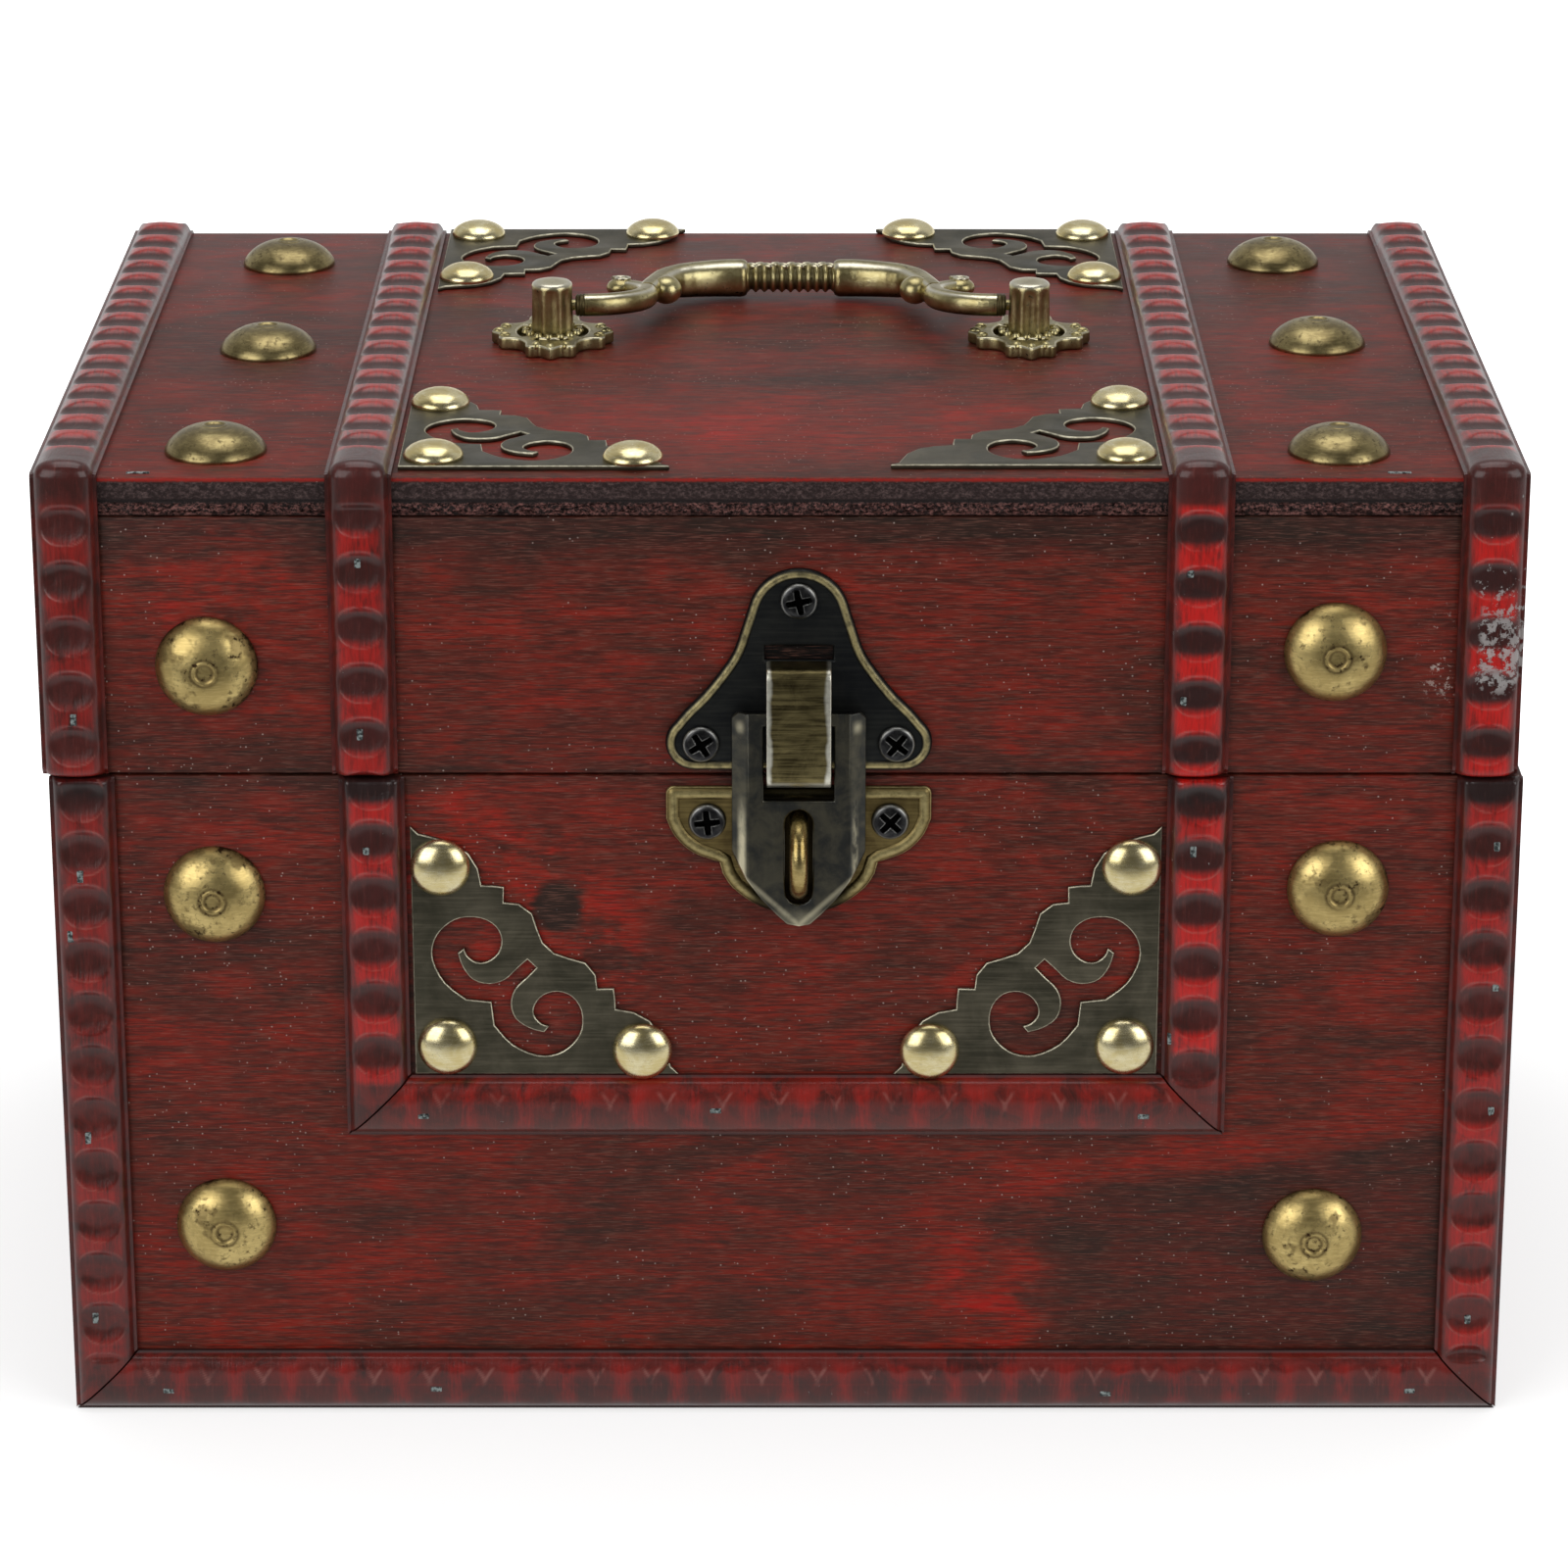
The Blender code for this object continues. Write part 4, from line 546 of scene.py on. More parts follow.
def strip_wood():
    """Deep red with near black glaze in the scoops and bright red ridges, all brushed along the strip. Painted shade
    darkens the case's strips under the seam, and the glaze lies thinner low down; a lying strip is painted lit red
    above, with a pale painted reflection below and painted shade along its edges, and the lowest is darker; the
    scoops' rims carry a painted highlight; the lid's right strip is scraped white."""
    material, shader, place = new_finish("strip_wood", coat=0.5)
    shader.inputs["Specular IOR Level"].default_value = 0.3
    shader.inputs["Coat Roughness"].default_value = 0.17
    x, _, z = place.parts()
    pool = place.value("pool")
    rubbed = place.value("rubbed")
    smear = place.noise(0.18, 5, 0.65, 0.8)
    brushed = place.noise((2.4, 0.3, 0.3), 4, 0.6)
    base = (smear.rise(0.38, 0.66) * 0.7 + brushed.rise(0.4, 0.7) * 0.3).mix(tone(58, 23, 18), tone(104, 26, 18))
    # Painted shade: the case's strips darken just under the seam, where the lid's strips overhang them.
    shade_under_seam = z.near(SEAM_Z - 1 * MM, 5 * MM) * (1 - z.rise(SEAM_Z, SEAM_Z + 0.1 * MM))
    upper = place.value("upper")
    lying = abs(upper).rise(0.01, 0.05)
    # Painted light: a lying strip's upper side is painted a lit bright red, its lower side a pale painted reflection.
    base = (upper.rise(-0.1, 0.5) * smear.rise(0.3, 0.6) * 0.8).mix(base, tone(128, 24, 12))
    base = ((1 - upper.rise(-0.9, 0.1)) * lying * 0.5).mix(base, tone(104, 58, 50))
    dark = pool * (smear.rise(0.34, 0.58) * 0.65 + 0.35) * (z.rise(40 * MM, 108 * MM) * 0.62 + 0.28)
    # Painted shade along a lying strip's two edges; the lowest lying strip is darker as well.
    dark = dark + shade_under_seam * 0.7 + abs(upper).rise(0.88, 1.0) * 0.7
    dark = dark + lying * (1 - z.rise(6 * MM, 16 * MM)) * 0.4
    colour = dark.held().mix(base, tone(38, 21, 20))
    bright = rubbed * (smear.rise(0.25, 0.55) * 0.6 + brushed.rise(0.35, 0.6) * 0.5)
    colour = bright.held().mix(colour, tone(190, 17, 10))
    # Painted highlight round the scoops' rims.
    rim = place.value("rim")
    colour = (rim * smear.rise(0.36, 0.60) * 0.4).mix(colour, tone(158, 104, 96))
    colour = (brushed.rise(0.56, 0.78) * 0.3).mix(colour, tone(104, 66, 60))
    scraped = x.rise(103 * MM, 106 * MM) * z.near(126 * MM, 22 * MM) * 0.19
    chips = place.noise(0.7, 5, 0.72) + scraped
    scuffs = chips.rise(0.66, 0.70) * (place.noise(0.05, 2) + scraped).rise(0.56, 0.64)
    colour = (scuffs * 0.8).mix(colour, tone(164, 160, 158))
    relief = bump(smear + brushed * 0.5 + scuffs * 0.5, 0.14 * MM)
    join(shader, Base_Color=colour, Roughness=smear * 0.3 + 0.2, Normal=relief)
    return material


strip_finish = strip_wood()
FRONT = (0, -1, 0)
UP = (0, 0, 1)
SIDEWAYS = (1, 0, 0)
strip_points = {}


def add_strip(name, body, start, end, across, out, first, rub, **shape):
    """Adds one moulding, and keeps its points for the brads."""
    form, values = strip_form(start, end, across, out, first * MM, rub, **shape)
    strip_points[name] = form[0]
    add_piece(name + "_strip", form, strip_finish, body, (name,), values=values)


SIDES = (("left", -1), ("right", 1))
# For each upright moulding: where a scoop starts, in millimetres, and how far its ridges are rubbed.
STRIP_FIRSTS = {
    "case_moulding_left": (7.9, 0.3), "case_moulding_right": (6.4, 0.6),
    "case_frame_left": (6.0, 0.7), "case_frame_right": (8.6, 0.9),
    "lid_moulding_outer_left": (3.4, 0.3), "lid_moulding_outer_right": (3.1, 0.9),
    "lid_moulding_inner_left": (2.0, 0.55), "lid_moulding_inner_right": (4.2, 1.0),
}
for side, sign in SIDES:
    for name in (f"case_moulding_{side}", f"case_frame_{side}"):
        low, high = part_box(name)
        x = middle_of(name)[0]
        foot = (x, FRONT_Y, low.z + STRIP_WIDTH / 2)
        add_strip(name, "case", (x, FRONT_Y, high.z), foot, (-sign, 0, 0), FRONT, *STRIP_FIRSTS[name],
                  ridge=0.17, end_cut=-1, plain=(0, 5 * MM))
    for place in ("outer", "inner"):
        name = f"lid_moulding_{place}_{side}"
        x = middle_of(name)[0]
        edge = (x, FRONT_Y, LID_TOP_Z)
        foot = (x, FRONT_Y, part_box(name)[0].z)
        add_strip(name, "lid", edge, foot, SIDEWAYS, FRONT, *STRIP_FIRSTS[name], start_over=True,
                  ridge=0.26, plain=(4.5 * MM, 0), end_round=1.5)
        rear = (x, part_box("lid_top")[1].y, LID_TOP_Z)
        add_strip(f"top_moulding_{place}_{side}", "lid", edge, rear, SIDEWAYS, UP, 7.2, 0.7, start_over=True,
                  ridge=0.2, plain=(7 * MM, 0), end_round=1.8)
for name, first in (("case_moulding_base", 2.9), ("case_frame_base", 5.2)):
    low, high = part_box(name)
    z = middle_of(name)[2]
    left = (low.x + STRIP_WIDTH / 2, FRONT_Y, z)
    right = (high.x - STRIP_WIDTH / 2, FRONT_Y, z)
    add_strip(name, "case", left, right, UP, FRONT, first, 0.25, deep=0.16, ridge=0.05, plain=(4 * MM, 4 * MM),
              start_cut=1, end_cut=-1)

# Brads: small steel pins whose square heads were punched just below the crown, grey where the glaze rubbed off.
# Two wire staples hold the top board near its front edge. The places are x and z in millimetres.
BRADS = {
    "lid_moulding_outer_left": [(-107.6, 116.0)],
    "lid_moulding_inner_left": [(-64.0, 140.7), (-64.3, 113.3)],
    "lid_moulding_inner_right": [(61.3, 139.3), (60.7, 118.4)],
    "case_moulding_left": [(-107.6, 90.6), (-109.5, 80.7), (-108.1, 47.2), (-108.3, 16.1)],
    "case_moulding_right": [(109.2, 95.0), (109.9, 72.6), (110.1, 51.2), (107.8, 15.8)],
    "case_frame_left": [(-63.8, 94.2)],
    "case_frame_right": [(62.8, 94.3), (60.0, 63.5)],
    "case_moulding_base": [(-97.1, 3.9), (-54.8, 4.2), (51.0, 3.4), (99.0, 3.9)],
    "case_frame_base": [(-55.9, 50.9), (-10.5, 51.8), (56.0, 50.9)],
}


def brad_steel():
    """Steel, dull grey where the glaze still clings and pale where it was rubbed off."""
    material, shader, place = new_finish("brad_steel", metallic=0.5)
    specks = place.noise(1.8, 3, 0.6)
    colour = specks.rise(0.4, 0.62).mix(tone(48, 52, 52), tone(150, 160, 158))
    join(shader, Base_Color=colour, Roughness=specks * 0.3 + 0.3, Normal=bump(specks, 0.1 * MM))
    return material


brad_finish = brad_steel()
for name, spots in BRADS.items():
    lying = name.endswith("base")
    body = "lid" if name.startswith("lid") else "case"
    for number, (x, z) in enumerate(spots):
        points = strip_points[name]
        surface = points[np.argmin(np.hypot(points[:, 0] - x * MM, points[:, 2] - z * MM)), 1]
        half = np.array((0.9, 0, 0.45) if lying else (0.5, 0, 0.95)) * MM
        middle = np.array([x * MM, surface, z * MM])
        form = rounded_block(middle - half - (0, 0.10 * MM, 0), middle + half + (0, 0.8 * MM, 0), 0.18 * MM, 2)
        add_piece(f"{name}_brad_{number}", form, brad_finish, body)
for number, x in enumerate((-97.0 * MM, 92.7 * MM)):
    low = (x - 1.8 * MM, FRONT_Y + 2.0 * MM, LID_TOP_Z - 0.3 * MM)
    high = (x + 1.8 * MM, FRONT_Y + 2.6 * MM, LID_TOP_Z + 0.25 * MM)
    add_piece(f"top_staple_{number}", rounded_block(low, high, 0.2 * MM, 2), brad_finish, "lid")


# Studs: twelve domed heads of pressed brass sheet, driven in by hand, with a small ringed dish in the middle.
# The brass is old: dark specks and stains round the dish, brighter where it is rubbed.
def smooth_path(points, cuts=4, closed=False):
    """A Catmull-Rom curve through the points: each span is the cubic of its four neighbours."""
    points = np.array(points, float)
    count = len(points)
    span = np.arange(count if closed else count - 1)
    if closed:
        around = [points[(span + step) % count] for step in (-1, 0, 1, 2)]
    else:
        around = [points[np.clip(span + step, 0, count - 1)] for step in (-1, 0, 1, 2)]
    before, first, second, after = (corner[:, None] for corner in around)
    t = (np.arange(cuts) / cuts)[None, :, None]
    curve = 2 * first + (second - before) * t
    curve = curve + (2 * before - 5 * first + 4 * second - after) * t**2
    curve = curve + (3 * first - before - 3 * second + after) * t**3
    curve = (curve / 2).reshape(-1, points.shape[1])
    return curve if closed else np.concatenate([curve, points[-1:]])


def axes_of(out):
    """Three axes at right angles, the last along the direction out."""
    out = np.array(out, float)
    side = np.array((0, 0, 1.0)) if abs(out[0]) > 0.5 else np.array((1.0, 0, 0))
    return np.array([side, np.cross(out, side), out])


def turned(profile, steps, centre, out):
    """A profile of (radius, height) pairs turned about the direction out."""
    radius, height = np.array(profile, float).T[..., None]
    angle = np.linspace(0, 2 * np.pi, steps, endpoint=False)
    grid = points_of(radius * np.cos(angle), radius * np.sin(angle), height)
    return placed(woven(grid, around=True), centre, axes_of(out))


def stud_form(centre, out, radius, rise):
    """A dome of the radius and rise; round its middle runs a thin ring about a shallow dish."""
    dome = [(0, 0.93), (0.13, 0.93), (0.18, 0.96), (0.215, 1.0), (0.25, 0.975), (0.31, 0.965), (0.42, 0.925)]
    dome += [(0.55, 0.85), (0.68, 0.735), (0.80, 0.585), (0.90, 0.405), (0.965, 0.235), (1.0, 0.10), (0.995, 0.0)]
    profile = smooth_path([(radius * across, rise * up) for across, up in dome], 3)
    profile = np.concatenate([profile, [(0, 0)]])
    middle = np.repeat(profile[:, 0] / radius, 64)
    return turned(profile, 64, centre, out), {"from_middle": middle}


def old_brass(name, bright, mid, dark, wear=0.5, grit=1.0, rough=0.3, dish=0.0, relief=0.035 * MM):
    """Brass with its age on it: noise rubs its mid tone bright or stains it dark, and it is rougher where it is
    dark. A stud's dish holds the stain as well."""
    material, shader, place = new_finish(name, metallic=1.0)
    patches = place.noise(0.2 * grit, 5, 0.6, 0.6)
    specks = place.noise(1.1 * grit, 4, 0.65)
    hairs = place.noise((0.5 * grit, 0.5 * grit, 4 * grit), 3, 0.6)
    colour = (patches.rise(0.38, 0.66) * 0.7 + hairs.rise(0.45, 0.7) * 0.4).held().mix(mid, bright)
    stain = specks.rise(0.50, 0.70) * patches.rise(0.35, 0.6) * wear * 1.5
    if dish:
        out = place.value("from_middle") + (specks - 0.5) * 0.10
        rings = (out.near(0.15, 0.06) + out.near(0.27, 0.06)) * 0.7 + (1 - out.rise(0.20, 0.45)) * 0.35
        stain = stain + rings * dish * (patches.rise(0.30, 0.50) * 0.6 + 0.4) + out.rise(0.93, 1.02) * 0.6
        stain = stain + place.noise(0.13, 4, 0.6).rise(0.57, 0.63) * out.rise(0.2, 0.4) * 0.5
    stain = stain.held()
    colour = stain.mix(colour, dark)
    waves = bump(specks + patches + hairs * 0.4, relief)
    join(shader, Base_Color=colour, Roughness=stain * 0.25 + hairs * 0.12 + rough - 0.05, Normal=waves)
    return material


stud_brass = old_brass("stud_brass", tone(232, 208, 140), tone(188, 165, 106), tone(64, 46, 30), 0.5, dish=0.7,
                       rough=0.34)
# A darker copy of the stud brass, painted shade, for the studs on the top.
shaded_top_stud_brass = old_brass("shaded_top_stud_brass", tone(176, 160, 112), tone(126, 112, 76), tone(60, 46, 32), 0.5,
                           rough=0.30, relief=0.02 * MM)
STUD_NODES = [(f"case_stud_{row}", "case", FRONT) for row in ("upper", "lower")]
STUD_NODES += [("lid_stud", "lid", FRONT)]
STUD_NODES += [(f"top_stud_{row}", "lid", UP) for row in ("front", "middle", "rear")]
for node, body, out in STUD_NODES:
    for side in ("left", "right"):
        name = f"{node}_{side}"
        low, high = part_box(name)
        centre = (low + high) / 2
        radius = (high.x - low.x) / 2
        if out == UP:
            centre.z = LID_TOP_Z
            rise = high.z - LID_TOP_Z
        else:
            centre.y = FRONT_Y
            rise = FRONT_Y - low.y
        form, values = stud_form(centre, out, radius, rise)
        finish = shaded_top_stud_brass if out == UP else stud_brass
        add_piece(name + "_dome", form, finish, body, (name,), sharp=60, values=values)

# Corner plates: six sheets of dark bronze, pierced with two scrolls that meet on the diagonal.
# Each is held by three round-headed brass nails, but one nail of the front right plate on the lid is lost.
PLATE_LEG = 41.2 * MM
PLATE_SHEET = 0.8 * MM
EDGE_HALF = [(0.000, 0.993), (0.030, 0.963), (0.080, 0.950), (0.150, 0.930), (0.215, 0.885), (0.250, 0.825)]
EDGE_HALF += [(0.262, 0.758), (0.300, 0.757), (0.346, 0.752), (0.344, 0.690), (0.400, 0.684), (0.449, 0.646)]
EDGE_HALF += [(0.468, 0.583), (0.487, 0.530)]
SCROLL_OUTER = [(0.198, 0.302), (0.120, 0.368), (0.076, 0.461), (0.083, 0.537), (0.122, 0.593), (0.180, 0.627)]
SCROLL_OUTER += [(0.256, 0.627), (0.312, 0.593), (0.332, 0.540), (0.318, 0.488), (0.280, 0.456), (0.239, 0.451)]
SCROLL_OUTER += [(0.205, 0.476), (0.193, 0.507)]
SCROLL_INNER = [(0.168, 0.488), (0.185, 0.432), (0.224, 0.380), (0.285, 0.363), (0.344, 0.380), (0.393, 0.427)]
SCROLL_INNER += [(0.429, 0.461)]
SCROLL_CUSP = 0.292
NAIL_SPOTS = {"upper": (0.110, 0.833), "corner": (0.124, 0.115), "lower": (0.857, 0.096)}


def unit(rows):
    """Each row made one long."""
    return rows / np.linalg.norm(rows, axis=-1, keepdims=True)


def left_of(way):
    """The direction to the left of each direction in a plane."""
    return np.stack([-way[:, 1], way[:, 0]], axis=1)


def turn_of(loop):
    """1 for a loop that runs to the left and -1 for one that runs to the right, from its signed area."""
    ahead = np.roll(loop, -1, 0)
    return np.sign(np.sum(loop[:, 0] * ahead[:, 1] - ahead[:, 0] * loop[:, 1]))


def sheet_form(outlines, thickness, edge, rings=3):
    """A flat sheet standing on z = 0, the first outline its edge and the rest openings, with rounded arrises.

    Each outline point goes into the metal by edge times (1 - cos), and up or down by edge times the sine, of an
    angle from 0 to 90 degrees; the two faces are filled between the innermost rings."""
    angle = np.linspace(0, np.pi / 2, rings + 1)
    inward = edge * (1 - np.cos(angle))
    lift = thickness / 2 - edge + edge * np.sin(angle)
    inset = np.concatenate([inward[::-1], inward])
    height = np.concatenate([-lift[::-1], lift]) + thickness / 2
    walls = []
    for number, outline in enumerate(outlines):
        loop = np.array(outline, float)
        normal = left_of(unit(np.roll(loop, -1, 0) - loop)) * turn_of(loop) * (-1 if number else 1)
        behind = np.roll(normal, 1, 0)
        corner = np.maximum(1 + np.sum(normal * behind, axis=1, keepdims=True), 0.5)
        into = (normal + behind) / corner
        flat = loop + inset[:, None, None] * into
        rise = np.broadcast_to(height[:, None, None], (*flat.shape[:2], 1))
        walls.append(np.concatenate([flat, rise], axis=-1))
    form = together(*(woven(wall, around=True) for wall in walls))
    triangles = np.array(tessellate_polygon([[Vector(point) for point in wall[-1]] for wall in walls]))
    starts = np.cumsum([0] + [wall.shape[0] * wall.shape[1] for wall in walls[:-1]])
    foot = np.concatenate([start + np.arange(wall.shape[1]) for start, wall in zip(starts, walls)])
    top = np.concatenate(
        [start + (wall.shape[0] - 1) * wall.shape[1] + np.arange(wall.shape[1])
         for start, wall in zip(starts, walls)])
    return form[0], form[1] + [foot[triangles], top[triangles]]


def mirrored(points):
    """The points reflected in the plate's diagonal, in reverse order."""
    return [(second, first) for first, second in reversed(points)]


def plate_outlines():
    """The plate's border and its one opening: two scrolls that meet in a cusp on the diagonal."""
    hook = smooth_path(SCROLL_OUTER, 3).tolist() + smooth_path(SCROLL_INNER, 3).tolist()
    border = EDGE_HALF + mirrored(EDGE_HALF) + [(0, 0)]
    opening = [(SCROLL_CUSP, SCROLL_CUSP)] + hook + mirrored(hook)
    return [np.array(outline) * PLATE_LEG for outline in (border, opening)]


def nail_form(centre, out, radius=4.6 * MM, rise=2.6 * MM):
    """A round nail head: a cap of a sphere with a thin turned-in rim."""
    dome = [(0, 1.0), (0.2, 0.985), (0.4, 0.925), (0.6, 0.81), (0.78, 0.64), (0.92, 0.42), (1.0, 0.17), (0.98, 0)]
    profile = smooth_path([(radius * across, rise * up) for across, up in dome], 3)
    profile = np.concatenate([profile, [(0, 0)]])
    return turned(profile, 48, centre, out)


def arris_values(outlines, rings=3):
    """For the points of sheet_form: 1 on the round arris of the upper face, 0 elsewhere."""
    level = np.sin(2 * np.linspace(0, np.pi / 2, rings + 1))
    level = np.concatenate([0 * level, level])
    return {"worn": np.concatenate([np.repeat(level, len(outline)) for outline in outlines])}


def plate_bronze(name, base, light, edge, rough=0.36, painted_shade=None):
    """Dark bronze: brushed in one direction, cloudy, rubbed lighter with a painted highlight where its worn value is
    high, and painted near black shade where the mask given for it is 1."""
    material, shader, place = new_finish(name, metallic=1.0)
    brushed = place.noise((0.10, 0.10, 2.6), 4, 0.6)
    patches = place.noise(0.12, 4, 0.6, 0.5)
    specks = place.noise(0.9, 4, 0.65)
    worn = place.value("worn")
    colour = (patches.rise(0.32, 0.70) * 0.6 + brushed.rise(0.4, 0.7) * 0.4).mix(base, light)
    rubbed = worn * (specks.rise(0.30, 0.62) * 0.6 + 0.4)
    colour = rubbed.held().mix(colour, edge)
    # Painted shade: near black where the mask says, as under the hasp.
    if painted_shade:
        colour = (painted_shade(place) * 0.9).mix(colour, tone(26, 23, 18))
    relief = bump(brushed + patches, 0.03 * MM)
    join(shader, Base_Color=colour, Roughness=brushed * 0.2 + specks * 0.1 + rough - 0.05, Normal=relief)
    return material


# The near white of the plates' arrises is wear with a painted highlight on it.
dark_bronze = plate_bronze("dark_bronze", tone(74, 72, 60), tone(116, 110, 94), tone(236, 230, 204))
nail_brass = old_brass("nail_brass", tone(252, 242, 200), tone(226, 208, 148), tone(120, 96, 60), 0.14, rough=0.24,
                       relief=0.010 * MM)
PLATES = []
for side, sign in SIDES:
    PLATES.append((f"case_corner_plate_{side}", "case", (-sign, 0, 0), UP, FRONT))
    PLATES.append((f"top_corner_plate_front_{side}", "lid", (-sign, 0, 0), (0, 1, 0), UP))
    PLATES.append((f"top_corner_plate_rear_{side}", "lid", (-sign, 0, 0), (0, -1, 0), UP))
for name, body, along, up, out in PLATES:
    low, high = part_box(name)
    corner = np.where(np.array(along) + np.array(up) + np.array(out) > 0, np.array(low), np.array(high))
    if out == UP:
        corner[2] = LID_TOP_Z
    else:
        corner[1] = FRONT_Y
    axes = np.array([along, up, out], float)
    outlines = plate_outlines()
    plate = placed(sheet_form(outlines, PLATE_SHEET, 0.25 * MM), corner, axes)
    add_piece(name + "_sheet", plate, dark_bronze, body, (name,), values=arris_values(outlines))
    for nail, (u, v) in NAIL_SPOTS.items():
        if (name, nail) != ("top_corner_plate_front_right", "lower"):
            spot = corner + np.array((u * PLATE_LEG, v * PLATE_LEG, PLATE_SHEET)) @ axes
            head = nail_form(spot, out)
            add_piece(f"{name}_{nail}_nail", head, nail_brass, body, sharp=60)

# Latch plate: a bell of pressed steel with rolled edges, bronzed near black and rubbed bright along the roll,
# whose crest carries a painted highlight.
# Its tongue curls forward at the foot, runs up and folds back through a slot; three cross-head screws hold it.
LATCH_X = 2.4 * MM
LATCH_FOOT_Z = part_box("case_front")[1].z + 1.3 * MM
LATCH_WIDTH = 40.6 * MM
LATCH_HEIGHT = 32.1 * MM
LATCH_SHEET = 1.2 * MM
TONGUE_WIDTH = 9.8 * MM
TONGUE_SHEET = 0.9 * MM
TONGUE_OUT = 5.7 * MM
TONGUE_BACK = 0.8 * MM
TONGUE_DROP = 1.9 * MM
TONGUE_TOP = 17.5 * MM
FOLD_RADIUS = 1.3 * MM
CROWN_RADIUS = 7.8 * MM
LOBE_RADIUS = 4.4 * MM
SCREW_RADIUS = 2.9 * MM
CROSS_ARM = 0.42 * MM
CROSS_DEPTH = 0.85 * MM
SLOT_LOW = 17.7 * MM
LATCH_SCREWS = [(0, 27.1 * MM), (-14.9 * MM, 4.3 * MM), (14.9 * MM, 4.3 * MM)]


def arc(centre, radius, start, end, steps):
    """Points along an arc, angles in degrees."""
    angle = np.radians(np.linspace(start, end, steps + 1))
    return [(centre[0] + radius * math.cos(a), centre[1] + radius * math.sin(a)) for a in angle]


def two_sided(right_half):
    """A closed outline from its right half, which runs from the top middle to the foot middle."""
    return list(right_half) + [(-x, z) for x, z in reversed(list(right_half)) if x > 1e-9]


def rectangle(width, low, high):
    """The corners of a rectangle about the middle line."""
    return [(-width / 2, low), (width / 2, low), (width / 2, high), (-width / 2, high)]


def latch_outline():
    """A bell: a round crown, hollow flanks and a round lobe at each lower corner."""
    half = LATCH_WIDTH / 2
    crown = arc((0, LATCH_HEIGHT - CROWN_RADIUS), CROWN_RADIUS, 90, 15, 12)
    flank = [(0.425, 0.710), (0.490, 0.590), (0.590, 0.490), (0.720, 0.385), (0.850, 0.300)]
    flank = [(half * across, LATCH_HEIGHT * up) for across, up in flank]
    lobe = arc((half - LOBE_RADIUS, LOBE_RADIUS), LOBE_RADIUS, 48, -90, 16)
    flank = smooth_path([crown[-1], *flank, lobe[0]], 4)[1:-1].tolist()
    return two_sided([(0, LATCH_HEIGHT)] + crown[1:] + flank + lobe)


def on_front(form, x, face, z):
    """The form stood up on the front, at a place and so far out: its own z points out of the box."""
    return placed(form, (x, FRONT_Y - face, z), (SIDEWAYS, UP, FRONT))


def cross_head(x, z, face, body, turn, name):
    """A pan-head screw, black, with a tapered cross recess: the head's height less what the cross takes away.
    Its rim and the edges of the cross are worn and carry a painted highlight; inside, the cross is painted dark as
    shade."""
    out = np.linspace(0, 1, 33)[:, None]
    angle = np.linspace(0, 2 * np.pi, 96, endpoint=False)[None]
    flat_x = out * np.cos(angle) * SCREW_RADIUS
    flat_y = out * np.sin(angle) * SCREW_RADIUS
    height = 1.15 * MM * np.sqrt(np.clip(1.02 - out**4.5, 0, 1)) + 0 * angle
    turned_x = flat_x * math.cos(turn) + flat_y * math.sin(turn)
    turned_y = flat_y * math.cos(turn) - flat_x * math.sin(turn)
    arm = CROSS_ARM * (1.25 - 0.4 * out)
    from_arm = np.minimum(np.abs(turned_x), np.abs(turned_y)) / arm
    reach = 1 - step_up(out, 0.58, 0.70)
    height = height - CROSS_DEPTH * (1 - step_up(from_arm, 0.72, 1.08)) * reach
    # Painted highlight with wear on the cross's edges and the head's rim; painted shade inside the cross.
    worn = np.clip(1 - np.abs(from_arm - 1.2) / 0.26, 0, 1) * reach * 0.8
    worn = worn + np.clip(1 - np.abs(out - 0.91) / 0.09, 0, 1)
    worn = worn - (1 - step_up(from_arm, 0.7, 1.0)) * reach
    grid = points_of(flat_x, flat_y, height)
    foot = grid[-1:].copy()
    foot[..., 2] = 0
    form = on_front(woven(np.concatenate([grid, foot]), around=True), x, face, z)
    values = {"worn": np.concatenate([worn, worn[-1:]]).ravel()}
    add_piece(name, form, screw_black, body, sharp=50, values=values)


def black_steel():
    """Black oxide, grey where it is worn, with a painted highlight; below zero its worn value is painted shade in a
    recess.
    """
    material, shader, place = new_finish("screw_black", metallic=1.0)
    specks = place.noise(0.9, 4, 0.6)
    worn = place.value("worn")
    colour = specks.rise(0.35, 0.7).mix(tone(46, 46, 48), tone(72, 72, 72))
    colour = worn.held().mix(colour, tone(170, 170, 166))
    colour = (0 - worn).held().mix(colour, tone(12, 11, 11))
    join(shader, Base_Color=colour, Roughness=specks * 0.2 + 0.24, Normal=bump(specks, 0.04 * MM))
    return material


screw_black = black_steel()
# The latch's roll is brass where worn, with a painted highlight on its crest.
latch_bronze = plate_bronze("latch_bronze", tone(42, 44, 46), tone(62, 63, 60), tone(214, 198, 142), 0.34)
slot_hole = rectangle(TONGUE_WIDTH + 0.5 * MM, SLOT_LOW, SLOT_LOW + 2.2 * MM)
plate = sheet_form([latch_outline(), slot_hole], LATCH_SHEET, 0.5 * MM, 4)
plate = on_front(plate, LATCH_X, 0, LATCH_FOOT_Z)
add_piece("latch_plate_sheet", plate, latch_bronze, "lid", ("latch_plate",))


